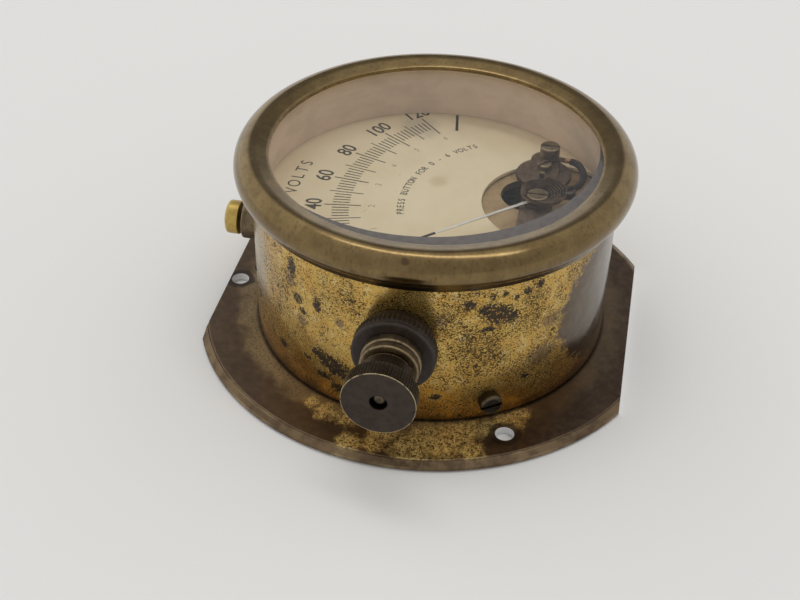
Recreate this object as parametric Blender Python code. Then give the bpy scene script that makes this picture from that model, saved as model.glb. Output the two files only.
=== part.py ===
"""Brass-cased panel voltmeter: a pivoted-coil galvanometer, 90 mm over the bezel.

The origin is the centre of the back of the base plate. +Z points out of the dial, +Y to the
top of the dial and +X to its right. Sizes below are millimetres and angles are degrees; MM
turns them into Blender's metres where meshes are made.
"""

from math import cos, pi, radians, sin

import bmesh
import bpy
from mathutils import Matrix, Vector

MM = 0.001
GAP = 0.3

# Base plate: a disc with two flats and a spigot ring that the drum slips over.
FLANGE_RADIUS = 55.1
FLANGE_THICKNESS = 1.9
FLAT_TOP_Y = 50.1
FLAT_BOTTOM_Y = -47.5
SPIGOT_RADIUS = 40.0
SPIGOT_WALL = 1.1
SPIGOT_HEIGHT = 9.5
MOUNT_CIRCLE_RADIUS = 47.6
MOUNT_HOLE_RADIUS = 2.1
MOUNT_ANGLES = (90, 210, 330)

# Drum and bezel.
DRUM_RADIUS = 41.2
DRUM_WALL = 0.8
DRUM_TOP = 42.9
BEZEL_RADIUS = 45.0
BEZEL_ROLL_RADIUS = 4.2
BEZEL_ROLL_HEIGHT = 43.2
BEZEL_WALL = 0.9
LIP_RADIUS = 37.08
LIP_TOP = 46.2
LIP_THICKNESS = 0.7
CASE_SCREW_ANGLES = (88, 208, 328)
CASE_SCREW_HEIGHT = 6.8

# Glass, sleeve and dial.
GLASS_RADIUS = 41.0
GLASS_BOTTOM = 43.2
GLASS_THICKNESS = 2.0
SLEEVE_INNER = 39.5
SLEEVE_OUTER = 40.1
DIAL_TOP = 30.6
DIAL_THICKNESS = 0.8
DIAL_RADIUS = 40.0
WINDOW_CENTRE = (4.9, -26.9)
WINDOW_RADIUS = 16.5
PACKING_HOLE_CENTRE = (7.5, 3.35)
PACKING_HOLE_RADIUS = 39.3

# Movement: everything in it is set out about the coil's axis.
PIVOT = (0.6, -23.3)
STOP_RADIUS = 39.3
STOP_TOP = 34.8
POINTER_REST = 132.0
POINTER_HEIGHT = 34.2
POINTER_LENGTH = 43.5
STOP_ANGLES = {"stop_pin_zero": 133.7, "stop_pin_full": 36.5}
CHASSIS_BOTTOM = 27.9
CHASSIS_TOP = 29.5
CHASSIS_HOLE_CENTRE = (8.8, -20.8)
CHASSIS_HOLE_RADIUS = 6.5
PILLAR_CIRCLE = 36.2
PILLAR_ANGLES = (45, 135, 270)
MAGNET_INNER = 24.0
MAGNET_OUTER = 33.0
MAGNET_BOTTOM = 11.0
MAGNET_TOP = 21.0
MAGNET_END_ANGLE = -30.0
POLE_BORE = 9.6
CORE_RADIUS = 7.0
FORMER_WALL = 0.6
COIL_WALL = 0.8
COIL_DEPTH = 4.0
COIL_MIDDLE = (MAGNET_BOTTOM + MAGNET_TOP) / 2
WEIGHT_ARM = 8.7
LEAD_RADIUS = 0.9
BRIDGE_BOTTOM = 32.4
BRIDGE_TOP = 33.4
BRIDGE_ENDS = (-17.1, 19.2)
BRIDGE_FEET = {"left": -17.1, "right": 15.2}
BRIDGE_WIDTH = 7.0
FOOT_RADIUS = 6.5
LEAD_SCREW = (19.6, -24.0)
SPRING_BOTTOM = 34.8
SPRING_TOP = 35.6
COLLET_RADIUS = 2.4
COLLET_TOP = 35.6

# Terminals, on the drum's left and right.
TERMINAL_HEIGHT = 24.0
STUD_RADIUS = 1.5
STUD_INNER = 34.2
STUD_OUTER = 60.3
TERMINAL_BORE = 1.8
TERMINAL_ANGLES = {"left": 180, "right": 0}

# Push-button, at the top of the drum.
BUTTON_ANGLE = 90
BUTTON_HEIGHT = 20.4
BUTTON_RADIUS = 4.0
CUP_RADIUS = 4.7


def clear_scene():
    for item in list(bpy.data.objects):
        bpy.data.objects.remove(item, do_unlink=True)


def finish_of(name, color, metallic, roughness, alpha=1.0):
    """A Principled material, made once for each name."""
    if name in bpy.data.materials:
        return bpy.data.materials[name]
    material = bpy.data.materials.new(name)
    material.use_nodes = True
    shader = material.node_tree.nodes["Principled BSDF"]
    shader.inputs["Base Color"].default_value = (*color, 1.0)
    shader.inputs["Metallic"].default_value = metallic
    shader.inputs["Roughness"].default_value = roughness
    shader.inputs["Alpha"].default_value = alpha
    return material


def case_brass():
    return finish_of("case_brass", (0.45, 0.31, 0.10), 1.0, 0.32)


def aged_brass():
    return finish_of("aged_brass", (0.24, 0.17, 0.08), 1.0, 0.42)


def movement_brass():
    return finish_of("movement_brass", (0.30, 0.22, 0.11), 1.0, 0.40)


def dark_steel():
    return finish_of("dark_steel", (0.07, 0.06, 0.06), 1.0, 0.45)


def ebonite():
    return finish_of("ebonite", (0.022, 0.018, 0.016), 0.0, 0.45)


def add_object(name, mesh_maker, finish, hidden=False):
    """Makes an object from a filled bmesh, faces out, with round surfaces shaded smooth."""
    bmesh.ops.recalc_face_normals(mesh_maker, faces=mesh_maker.faces)
    mesh = bpy.data.meshes.new(name)
    mesh_maker.to_mesh(mesh)
    mesh_maker.free()
    item = bpy.data.objects.new(name, mesh)
    bpy.context.scene.collection.objects.link(item)
    if hidden:
        item.hide_render = True
        item.display_type = "WIRE"
        return item
    mesh.materials.append(finish)
    mesh.shade_smooth()
    mesh.set_sharp_from_angle(angle=radians(32))
    return item


def upright(x=0.0, y=0.0, z=0.0):
    return Matrix.Translation(Vector((x, y, z)) * MM)


def outward(angle, height):
    """A frame on the case's axis at this height, whose local Z runs out of the case at angle."""
    turn = Matrix.Rotation(radians(angle), 4, "Z") @ Matrix.Rotation(pi / 2, 4, "Y")
    return upright(z=height) @ turn


def turned(name, outline, finish, segments=48, place=None, hidden=False):
    """Turns a closed outline of (radius, height) points about local Z. A third number on a
    point is the depth of the knurling grooves there, one in every second segment."""
    maker = bmesh.new()
    rings = []
    for radius, height, *groove in outline:
        if radius == 0:
            rings.append([maker.verts.new(Vector((0, 0, height)) * MM)])
            continue
        ring = []
        for step in range(segments):
            angle = 2 * pi * step / segments
            reach = radius - (groove[0] if groove and step % 2 else 0)
            point = Vector((reach * cos(angle), reach * sin(angle), height))
            ring.append(maker.verts.new(point * MM))
        rings.append(ring)
    for lower, upper in zip(rings, rings[1:] + rings[:1]):
        if len(lower) == len(upper) == 1:
            continue
        for step in range(segments):
            after = (step + 1) % segments
            corners = [lower[step % len(lower)], lower[after % len(lower)]]
            corners += [upper[after % len(upper)], upper[step % len(upper)]]
            maker.faces.new(list(dict.fromkeys(corners)))
    maker.transform(place or Matrix.Identity(4))
    return add_object(name, maker, finish, hidden)


def tube(name, inner, outer, bottom, top, finish, segments=48, place=None, hidden=False):
    outline = [(inner, bottom), (outer, bottom), (outer, top), (inner, top)]
    return turned(name, outline, finish, segments, place, hidden)


def rod(name, radius, bottom, top, finish, segments=20, place=None, hidden=False):
    outline = [(0, bottom), (radius, bottom), (radius, top), (0, top)]
    return turned(name, outline, finish, segments, place, hidden)


def plate(name, outline, bottom, top, finish, place=None, hidden=False):
    """Extrudes a closed outline of (x, y) points from bottom to top."""
    maker = bmesh.new()
    floor = [maker.verts.new(Vector((x, y, bottom)) * MM) for x, y in outline]
    lid = [maker.verts.new(Vector((x, y, top)) * MM) for x, y in outline]
    maker.faces.new(floor)
    maker.faces.new(lid)
    for index in range(len(outline)):
        after = (index + 1) % len(outline)
        maker.faces.new([floor[index], floor[after], lid[after], lid[index]])
    maker.transform(place or Matrix.Identity(4))
    return add_object(name, maker, finish, hidden)


def box(name, low, high, finish, place=None, hidden=False):
    outline = [(low[0], low[1]), (high[0], low[1]), (high[0], high[1]), (low[0], high[1])]
    return plate(name, outline, low[2], high[2], finish, place, hidden)


def arc(centre, radius, start, end, steps):
    """Points along an arc, with angles in degrees."""
    turns = [radians(start + (end - start) * step / steps) for step in range(steps + 1)]
    return [(centre[0] + radius * cos(turn), centre[1] + radius * sin(turn)) for turn in turns]


def cut(item, cutter, operation="DIFFERENCE"):
    modifier = item.modifiers.new(cutter.name, "BOOLEAN")
    modifier.operation = operation
    modifier.solver = "EXACT"
    modifier.object = cutter


def drill(item, radius, bottom, top, place, segments=16):
    """Cuts a round hole along the local Z of place, its corners clear of the item's seams."""
    name = f"{item.name}_drill_{len(item.modifiers)}"
    place = place @ Matrix.Rotation(0.4 * pi / segments, 4, "Z")
    cut(item, rod(name, radius, bottom, top, None, segments, place, hidden=True))


def saw(item, low, high, place=None):
    """Cuts a box out of an item."""
    cut(item, box(f"{item.name}_saw_{len(item.modifiers)}", low, high, None, place, hidden=True))


def moving_group(name, x, y, z, pieces):
    """Parents pieces to an empty that stands on their joint's axis."""
    holder = bpy.data.objects.new(name, None)
    holder.location = Vector((x, y, z)) * MM
    bpy.context.scene.collection.objects.link(holder)
    for piece in pieces:
        piece.parent = holder
        piece.matrix_parent_inverse = upright(-x, -y, -z)


def make_base_plate():
    rim = FLANGE_RADIUS
    top = FLANGE_THICKNESS
    ring_inner = SPIGOT_RADIUS - SPIGOT_WALL
    outline = [(0, 0), (rim - 0.4, 0), (rim, 0.4), (rim, 0.9), (rim - 1.8, top)]
    outline += [(SPIGOT_RADIUS, top), (SPIGOT_RADIUS, SPIGOT_HEIGHT)]
    outline += [(ring_inner, SPIGOT_HEIGHT), (ring_inner, top), (0, top)]
    base = turned("base_plate", outline, aged_brass(), 48)
    saw(base, (-70, FLAT_TOP_Y, -5), (70, 70, 5))
    saw(base, (-70, -70, -5), (70, FLAT_BOTTOM_Y, 5))
    for angle in MOUNT_ANGLES:
        x = MOUNT_CIRCLE_RADIUS * cos(radians(angle))
        y = MOUNT_CIRCLE_RADIUS * sin(radians(angle))
        drill(base, MOUNT_HOLE_RADIUS, -5, 5, upright(x, y))
    for angle in CASE_SCREW_ANGLES:
        drill(base, 1.5, 36, 42, outward(angle, CASE_SCREW_HEIGHT), 12)


def make_drum():
    bottom = FLANGE_THICKNESS + GAP
    inner = DRUM_RADIUS - DRUM_WALL
    drum = tube("case_drum", inner, DRUM_RADIUS, bottom, DRUM_TOP, case_brass(), 48)
    for angle in CASE_SCREW_ANGLES:
        drill(drum, 1.6, 36, 45, outward(angle, CASE_SCREW_HEIGHT), 12)
    for angle in TERMINAL_ANGLES.values():
        drill(drum, 4.4, 36, 45, outward(angle, TERMINAL_HEIGHT))
    drill(drum, 3.4, 36, 45, outward(BUTTON_ANGLE, BUTTON_HEIGHT))


def make_case_screws():
    """Slotted cheese-head screws, radial, through the drum into the spigot ring."""
    for number, angle in enumerate(CASE_SCREW_ANGLES, 1):
        place = outward(angle, CASE_SCREW_HEIGHT)
        outline = [(0, 38.8), (1.2, 38.8), (1.2, 41.5), (2.5, 41.5), (2.5, 43.1), (2.1, 43.5)]
        outline.append((0, 43.5))
        screw = turned(f"case_screw_{number}", outline, dark_steel(), 12, place)
        saw(screw, (-0.3, -3, 42.9), (0.3, 3, 45), place)


def make_bezel():
    """A rolled ring: the outline runs up its outside, over the crown and back down inside."""
    centre = (BEZEL_RADIUS - BEZEL_ROLL_RADIUS, BEZEL_ROLL_HEIGHT)
    outline = [(41.5, 38.3), (42.7, 38.3)]
    outline += arc(centre, BEZEL_ROLL_RADIUS, -52, 80, 6)
    outline += [(LIP_RADIUS + 0.3, LIP_TOP), (LIP_RADIUS, LIP_TOP - 0.3)]
    outline += [(LIP_RADIUS, LIP_TOP - LIP_THICKNESS), (43.0, LIP_TOP - LIP_THICKNESS)]
    outline += arc(centre, BEZEL_ROLL_RADIUS - BEZEL_WALL, 25, -48, 2)
    turned("bezel", outline, aged_brass(), 48)


def make_glass():
    glass = finish_of("glass", (0.9, 0.95, 0.93), 0.0, 0.05, 0.3)
    rod("glass", GLASS_RADIUS, GLASS_BOTTOM, GLASS_BOTTOM + GLASS_THICKNESS, glass, 48)


def make_packing():
    """A crescent under the glass: a disc inside the sleeve, less a disc that is off-centre."""
    felt = finish_of("packing", (0.15, 0.13, 0.12), 0.0, 0.9)
    top = GLASS_BOTTOM - GAP
    crescent = rod("glass_packing", SLEEVE_INNER - GAP, top - 0.8, top, felt, 48)
    drill(crescent, PACKING_HOLE_RADIUS, 30, 50, upright(*PACKING_HOLE_CENTRE), 48)


def make_sleeve():
    card = finish_of("sleeve_lining", (0.31, 0.24, 0.18), 0.0, 0.7)
    bottom = DIAL_TOP + GAP
    tube("spacer_sleeve", SLEEVE_INNER, SLEEVE_OUTER, bottom, GLASS_BOTTOM - GAP, card, 40)


def make_dial():
    paper = finish_of("dial_paper", (0.60, 0.47, 0.30), 0.0, 0.6)
    dial = rod("dial_plate", DIAL_RADIUS, DIAL_TOP - DIAL_THICKNESS, DIAL_TOP, paper, 40)
    drill(dial, WINDOW_RADIUS, 20, 40, upright(*WINDOW_CENTRE), 36)
    drill(dial, 4.4, 20, 40, upright(BRIDGE_FEET["left"], PIVOT[1]))
    for name, angle in STOP_ANGLES.items():
        x, y = arc(PIVOT, STOP_RADIUS, angle, angle, 1)[0]
        drill(dial, 0.7, 20, 40, upright(x, y), 8)
        rod(name, 0.4, CHASSIS_TOP + GAP, STOP_TOP, dark_steel(), 10, upright(x, y))


def make_chassis():
    """The plate under the dial, on three pillars, with the opening for the coil's arbor."""
    chassis = rod("chassis_plate", 39.3, CHASSIS_BOTTOM, CHASSIS_TOP, movement_brass(), 40)
    drill(chassis, CHASSIS_HOLE_RADIUS, 20, 40, upright(*CHASSIS_HOLE_CENTRE))
    drill(chassis, 3.5, 20, 40, upright(*PIVOT))
    for number, angle in enumerate(PILLAR_ANGLES, 1):
        x, y = arc((0, 0), PILLAR_CIRCLE, angle, angle, 1)[0]
        rod(f"chassis_pillar_{number}", 2.3, FLANGE_THICKNESS + GAP, CHASSIS_BOTTOM - GAP,
            movement_brass(), 16, upright(x, y))


def make_magnet():
    """A flat C of steel, open at the foot of the dial, and the iron poles between its ends."""
    iron = finish_of("soft_iron", (0.18, 0.17, 0.17), 1.0, 0.5)
    centre = (PIVOT[0], 0)
    end = MAGNET_END_ANGLE
    outline = arc(centre, MAGNET_OUTER, end, 180 - end, 32)
    outline += arc(centre, MAGNET_INNER, 180 - end, end, 24)
    plate("magnet", outline, MAGNET_BOTTOM, MAGNET_TOP, dark_steel())
    for side, name in ((1, "pole_piece_right"), (-1, "pole_piece_left")):
        outline = arc((0, 0), POLE_BORE, -55, 55, 10)
        outline += [(7.2, 10.2), (16.0, 10.2), (20.2, 11.1), (27.9, 6.7), (27.9, -1.0)]
        outline += [(21.5, -8.0), (7.2, -9.6)]
        outline = [(PIVOT[0] + side * x, PIVOT[1] + y) for x, y in outline]
        plate(name, outline, MAGNET_BOTTOM, MAGNET_TOP, iron)
    rod("iron_core", CORE_RADIUS, MAGNET_BOTTOM - 0.5, MAGNET_TOP + 0.5, iron, 32, upright(*PIVOT))


def make_core_bracket():
    """A brass strap across the poles, with a stub that reaches through the coil to the core."""
    face = PIVOT[1] + 10.6
    low = (PIVOT[0] - 14, face, COIL_MIDDLE - 3)
    bracket = box("core_bracket", low, (PIVOT[0] + 14, face + 1.5, COIL_MIDDLE + 3), movement_brass())
    stub_end = CORE_RADIUS + GAP
    place = upright(*PIVOT, COIL_MIDDLE) @ Matrix.Rotation(-pi / 2, 4, "X")
    stub = rod("core_bracket_stub", 1.5, stub_end, 11.3, None, 12, place, hidden=True)
    cut(bracket, stub, "UNION")


def make_bridges():
    """The upper bridge crosses the dial's window on two knurled feet; the lower one spans the
    base plate and holds the jewel screw."""
    left, right = BRIDGE_ENDS
    half = BRIDGE_WIDTH / 2
    outline = arc((right, PIVOT[1]), half, -90, 90, 8) + arc((left, PIVOT[1]), half, 90, 270, 8)
    bridge = plate("upper_bridge", outline, BRIDGE_BOTTOM, BRIDGE_TOP, movement_brass())
    drill(bridge, 0.9, 20, 40, upright(*PIVOT), 12)
    drill(bridge, 1.35, 20, 40, upright(*LEAD_SCREW), 12)
    heads = {"left": (2.55, 36.4), "right": (1.7, 34.8)}
    for side, x in BRIDGE_FEET.items():
        place = upright(x, PIVOT[1])
        drill(bridge, 1.6, 20, 40, place, 12)
        flange_top = BRIDGE_BOTTOM - GAP
        flange = DIAL_TOP + GAP
        outline = [(0, CHASSIS_TOP + GAP), (3.9, CHASSIS_TOP + GAP), (3.9, flange)]
        outline += [(FOOT_RADIUS, flange, 0.25), (FOOT_RADIUS, flange_top, 0.25), (0, flange_top)]
        foot = turned(f"bridge_pillar_{side}", outline, movement_brass(), 32, place)
        drill(foot, 1.6, 30.6, 40, place, 12)
        radius, top = heads[side]
        outline = [(0, 31.0), (1.2, 31.0), (1.2, BRIDGE_TOP + GAP), (radius, BRIDGE_TOP + GAP)]
        outline += [(radius, top - 0.25), (radius - 0.25, top), (0, top)]
        screw = turned(f"bridge_screw_{side}", outline, movement_brass(), 16, place)
        saw(screw, (-3, -0.3, top - 0.5), (3, 0.3, 38), place)
    low = (PIVOT[0] - 16, PIVOT[1] - 3, 3.4)
    high = (PIVOT[0] + 16, PIVOT[1] + 3, 4.8)
    lower = box("lower_bridge", low, high, movement_brass())
    feet = ((PIVOT[0] - 16, PIVOT[0] - 12), (PIVOT[0] + 12, PIVOT[0] + 16))
    for index, (start, end) in enumerate(feet):
        name = f"lower_bridge_foot_{index}"
        foot = box(name, (start, low[1], 2.2), (end, high[1], 3.9), None, hidden=True)
        cut(lower, foot, "UNION")
    drill(lower, 1.8, 0, 10, upright(*PIVOT), 12)
    outline = [(0, 2.3), (1.5, 2.3), (1.5, 5.0), (0.6, 5.3), (0, 5.3)]
    turned("lower_jewel_screw", outline, movement_brass(), 12, upright(*PIVOT))


def make_hairspring(name, bottom, top, inner, outer, turns, steps, finish):
    """A flat strip wound in a spiral about the coil's axis."""
    thickness = 0.16
    maker = bmesh.new()
    rings = []
    total = int(turns * steps)
    for step in range(total + 1):
        turn = 2 * pi * step / steps
        radius = inner + (outer - inner) * step / total
        corners = []
        for reach, height in ((0, bottom), (thickness, bottom), (thickness, top), (0, top)):
            x = PIVOT[0] + (radius + reach) * cos(turn)
            y = PIVOT[1] + (radius + reach) * sin(turn)
            corners.append(maker.verts.new(Vector((x, y, height)) * MM))
        rings.append(corners)
    for near, far in zip(rings, rings[1:]):
        for index in range(4):
            after = (index + 1) % 4
            maker.faces.new([near[index], near[after], far[after], far[index]])
    maker.faces.new(rings[0])
    maker.faces.new(rings[-1])
    return add_object(name, maker, finish)


def make_springs():
    bronze = finish_of("spring_bronze", (0.20, 0.12, 0.08), 1.0, 0.35)
    make_hairspring("upper_hairspring", SPRING_BOTTOM, SPRING_TOP, 3.1, 7.9, 5, 12, bronze)
    make_hairspring("lower_hairspring", 5.9, 6.7, 1.5, 7.0, 3, 8, bronze)


def make_zero_lever():
    """Turns about the coil's axis on top of the bridge. Its upright holds the spring's end."""
    place = upright(*PIVOT)
    bottom = BRIDGE_TOP + 0.15
    lever = tube("zero_lever", 1.4, 3.3, bottom, bottom + 0.4, movement_brass(), 24, place)
    low = (2.6, -0.9, bottom + 0.05)
    arm = box("zero_lever_arm", low, (11.5, 0.9, bottom + 0.35), None, place, True)
    low = (8.5, -0.6, bottom + 0.1)
    stud = box("zero_lever_stud", low, (9.4, 0.6, SPRING_TOP + 0.2), None, place, True)
    cut(lever, arm, "UNION")
    cut(lever, stud, "UNION")
    return lever


def make_coil():
    """A wound rectangular frame that hangs in the gap between the core and the poles."""
    copper = finish_of("coil_wire", (0.25, 0.10, 0.04), 0.6, 0.5)
    alloy = finish_of("alloy", (0.62, 0.62, 0.60), 1.0, 0.3)
    turn = Matrix.Rotation(radians(POINTER_REST - 90), 4, "Z")
    place = upright(*PIVOT) @ turn
    half_depth = COIL_DEPTH / 2
    inner = CORE_RADIUS + 0.4
    pieces = []
    for name, start, wall, finish in (
        ("coil_former", inner, FORMER_WALL, alloy),
        ("coil_winding", inner + FORMER_WALL + 0.1, COIL_WALL, copper),
    ):
        end = start + wall
        low = (-end, -half_depth, COIL_MIDDLE - end)
        high = (end, half_depth, COIL_MIDDLE + end)
        ring = box(name, low, high, finish, place)
        saw(ring, (-start, -10, COIL_MIDDLE - start), (start, 10, COIL_MIDDLE + start), place)
        pieces.append(ring)
    return pieces


def make_arbors():
    """Two half arbors, above and below the coil, because the core fills the middle."""
    coil_end = CORE_RADIUS + 0.4 + FORMER_WALL + 0.1 + COIL_WALL + 0.1
    upper = rod("upper_arbor", 0.5, COIL_MIDDLE + coil_end, 34.9, dark_steel(), 12, upright(*PIVOT))
    outline = [(0, 5.6), (0.5, 6.0), (0.5, COIL_MIDDLE - coil_end), (0, COIL_MIDDLE - coil_end)]
    lower = turned("lower_arbor", outline, dark_steel(), 12, upright(*PIVOT))
    return [upper, lower]


def make_pointer():
    """A thin blade over the bridge, with a tail that carries the counterweight under it. The
    slotted collet above clamps the hairspring's inner end."""
    alloy = finish_of("alloy", (0.62, 0.62, 0.60), 1.0, 0.3)
    place = upright(*PIVOT) @ Matrix.Rotation(radians(POINTER_REST), 4, "Z")
    bottom = POINTER_HEIGHT
    top = POINTER_HEIGHT + 0.3
    pointer = tube("pointer", 0.8, 1.7, bottom - 0.1, top + 0.1, alloy, 20, place)
    outline = [(1.1, -0.45), (POINTER_LENGTH, -0.15), (POINTER_LENGTH, 0.15), (1.1, 0.45)]
    cut(pointer, plate("pointer_blade", outline, bottom, top, None, place, hidden=True), "UNION")
    tail = box("pointer_tail", (-WEIGHT_ARM - 2, -0.4, bottom), (-1.1, 0.4, top), None, place, True)
    cut(pointer, tail, "UNION")
    weight_place = place @ upright(-WEIGHT_ARM)
    weight = rod("counterweight", 1.7, bottom - 2.2, bottom - 0.2, ebonite(), 20, weight_place)
    outline = [(1.0, bottom + 0.6), (COLLET_RADIUS, bottom + 0.6)]
    outline += [(COLLET_RADIUS, COLLET_TOP - 0.15), (COLLET_RADIUS - 0.2, COLLET_TOP)]
    outline += [(0, COLLET_TOP), (0, COLLET_TOP - 0.4), (1.0, COLLET_TOP - 0.4)]
    collet = turned("collet", outline, case_brass(), 16, upright(*PIVOT))
    saw(collet, (-0.25, -4, COLLET_TOP - 0.25), (0.25, 4, 38), upright(*PIVOT))
    return [pointer, weight, collet]


def make_lead_screw():
    """A slotted screw at the bridge's right end, in one piece with the tag that it holds."""
    place = upright(*LEAD_SCREW)
    tag_bottom = BRIDGE_TOP + GAP
    tag_top = tag_bottom + 0.4
    outline = arc((0, 0), 2.2, -65, 245, 16) + [(-0.9, -4.6), (0.9, -4.6)]
    tag = plate("lead_tag", outline, tag_bottom, tag_top, None, place, hidden=True)
    outline = [(0, 32.5), (1.0, 32.5), (1.0, tag_top - 0.2), (2.05, tag_top - 0.2)]
    outline += [(2.05, 36.65), (1.8, 36.9), (0, 36.9)]
    screw = turned("lead_screw", outline, movement_brass(), 16, place)
    cut(screw, tag, "UNION")
    saw(screw, (-0.3, -3, 36.3), (0.3, 3, 38), place)


def make_lead_wire():
    """A sleeved lead that loops from its tag beside the bridge down to the chassis."""
    route = [(19.6, -29.5, 34.1), (18.9, -30.4, 34.4), (17.6, -31.4, 34.3), (16.3, -32.3, 33.8)]
    route += [(15.0, -32.7, 33.0), (13.5, -32.6, 32.2), (12.2, -31.7, 31.4), (11.6, -30.6, 30.8)]
    wire = bpy.data.curves.new("lead_wire", "CURVE")
    wire.dimensions = "3D"
    wire.bevel_depth = LEAD_RADIUS * MM
    wire.bevel_resolution = 2
    wire.use_fill_caps = True
    points = smooth_points(route, 3)
    spline = wire.splines.new("POLY")
    spline.points.add(len(points) - 1)
    for point, place in zip(spline.points, points):
        point.co = (*(place * MM), 1.0)
    wire.materials.append(finish_of("wire_sleeve", (0.03, 0.03, 0.03), 0.0, 0.7))
    item = bpy.data.objects.new("lead_wire", wire)
    bpy.context.scene.collection.objects.link(item)


def smooth_points(route, steps):
    """Points on a Catmull-Rom curve through the route's own points."""
    ends = [Vector(point) for point in route]
    ends = [2 * ends[0] - ends[1]] + ends + [2 * ends[-1] - ends[-2]]
    points = []
    for before, start, end, after in zip(ends, ends[1:], ends[2:], ends[3:]):
        for step in range(steps):
            t = step / steps
            bend = (2 * before - 5 * start + 4 * end - after) * t * t
            turn = (3 * start - before - 3 * end + after) * t * t * t
            points.append((2 * start + (end - before) * t + bend + turn) / 2)
    points.append(ends[-2])
    return points


def make_resistance():
    """An ebonite bobbin inside the magnet's C, wound with the series resistance."""
    silk = finish_of("silk_wire", (0.12, 0.20, 0.10), 0.0, 0.8)
    place = upright(PIVOT[0], 5.5)
    flange = 10.5
    hub = 5.0
    outline = [(2.0, 2.2), (flange, 2.2), (flange, 3.7), (hub, 3.7), (hub, 20.7), (flange, 20.7)]
    outline += [(flange, 22.2), (2.0, 22.2)]
    turned("resistor_bobbin", outline, ebonite(), 24, place)
    tube("resistor_winding", hub + GAP, flange - 0.7, 3.7 + GAP, 20.7 - GAP, silk, 24, place)


def make_terminal(side, angle):
    """One terminal: stud, insulator, nuts inside and outside, loose washer and thumb nut."""
    place = outward(angle, TERMINAL_HEIGHT)
    brass = case_brass()
    outline = [(0, STUD_INNER), (STUD_RADIUS, STUD_INNER), (STUD_RADIUS, STUD_OUTER - 0.5)]
    outline += [(0.8, STUD_OUTER), (0, STUD_OUTER)]
    turned(f"terminal_stud_{side}", outline, brass, 16, place)
    bore = TERMINAL_BORE
    outline = [(bore, 39.6), (4.0, 39.6), (4.0, 41.6), (8.0, 41.6), (8.0, 43.5), (9.0, 43.5)]
    outline += [(9.0, 46.7), (8.7, 47.0), (bore, 47.0)]
    turned(f"terminal_insulator_{side}", outline, ebonite(), 24, place)
    tube(f"terminal_inner_nut_{side}", bore, 3.5, 36.2, 39.2, brass, 6, place)
    outline = [(bore, 47.3), (6.45, 47.3), (6.45, 48.9), (6.1, 49.2), (bore, 49.2)]
    turned(f"terminal_clamp_nut_{side}", outline, brass, 24, place)
    outline = [(bore, 49.5), (6.3, 49.5), (6.3, 51.0), (6.1, 51.2), (bore, 51.2)]
    washer = turned(f"loose_washer_{side}", outline, brass, 24, place)
    head = 7.75
    outline = [(bore, 51.5), (5.35, 51.5), (5.35, 57.0), (head - 0.5, 57.0), (head, 57.4, 0.3)]
    outline += [(head, 61.0, 0.3), (head - 0.4, 61.4), (bore, 61.4)]
    nut = turned(f"thumb_nut_{side}", outline, aged_brass(), 36, place)
    reach = Vector(place @ Vector((0, 0, 51.5 * MM))) / MM
    moving_group(f"terminal_axis_{side}", *reach, [washer, nut])


def make_button():
    """The cap slides in the guide's cup. Its plunger meets the contact blade inside."""
    place = outward(BUTTON_ANGLE, BUTTON_HEIGHT)
    horn = finish_of("button_horn", (0.52, 0.38, 0.12), 0.0, 0.4)
    outline = [(1.3, 38.0), (3.0, 38.0), (3.0, 41.7), (CUP_RADIUS, 41.7), (CUP_RADIUS, 45.2)]
    outline += [(CUP_RADIUS - 0.4, 45.2), (CUP_RADIUS - 0.4, 42.5), (1.3, 42.5)]
    turned("button_guide", outline, aged_brass(), 24, place)
    outline = [(0, 46.3), (BUTTON_RADIUS, 46.3), (BUTTON_RADIUS, 48.7), (3.4, 49.3), (1.8, 49.7)]
    outline.append((0, 49.8))
    cap = turned("button_cap", outline, horn, 24, place)
    outline = [(0, 36.7), (2.0, 36.7), (2.0, 37.4), (1.0, 37.4), (1.0, 46.0), (0, 46.0)]
    plunger = turned("button_plunger", outline, movement_brass(), 16, place)
    make_coil_spring("button_spring", 2.5, 0.25, 42.85, 45.75, 4, place)
    moving_group("button_axis", 0, 46.3, BUTTON_HEIGHT, [cap, plunger])


def make_coil_spring(name, radius, wire, bottom, top, turns, place):
    """A helix of round wire about the local Z of place."""
    maker = bmesh.new()
    sides = 5
    steps = 10
    rings = []
    for step in range(turns * steps + 1):
        turn = 2 * pi * step / steps
        height = bottom + wire + (top - bottom - 2 * wire) * step / (turns * steps)
        ring = []
        for side in range(sides):
            tilt = 2 * pi * side / sides
            reach = radius + wire * cos(tilt)
            point = Vector((reach * cos(turn), reach * sin(turn), height + wire * sin(tilt)))
            ring.append(maker.verts.new(point * MM))
        rings.append(ring)
    for near, far in zip(rings, rings[1:]):
        for side in range(sides):
            after = (side + 1) % sides
            maker.faces.new([near[side], near[after], far[after], far[side]])
    maker.faces.new(rings[0])
    maker.faces.new(rings[-1])
    maker.transform(place)
    return add_object(name, maker, dark_steel())


def make_contact():
    """The blade that the plunger touches, on an ebonite block under the chassis plate."""
    low = (-5, 35.0, 23.4)
    box("contact_block", low, (5, 38.0, CHASSIS_BOTTOM - GAP), ebonite())
    box("contact_blade", (-2.5, 34.0, 18.0), (2.5, 34.4, 27.2), movement_brass())


def main():
    clear_scene()
    make_base_plate()
    make_drum()
    make_case_screws()
    make_bezel()
    make_glass()
    make_packing()
    make_sleeve()
    make_dial()
    make_chassis()
    make_magnet()
    make_core_bracket()
    make_bridges()
    make_springs()
    make_lead_screw()
    make_lead_wire()
    make_resistance()
    lever = make_zero_lever()
    moving_group("zero_lever_axis", *PIVOT, BRIDGE_TOP, [lever])
    coil_pieces = make_coil() + make_arbors() + make_pointer()
    moving_group("coil_axis", *PIVOT, POINTER_HEIGHT, coil_pieces)
    for side, angle in TERMINAL_ANGLES.items():
        make_terminal(side, angle)
    make_button()
    make_contact()


main()
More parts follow.
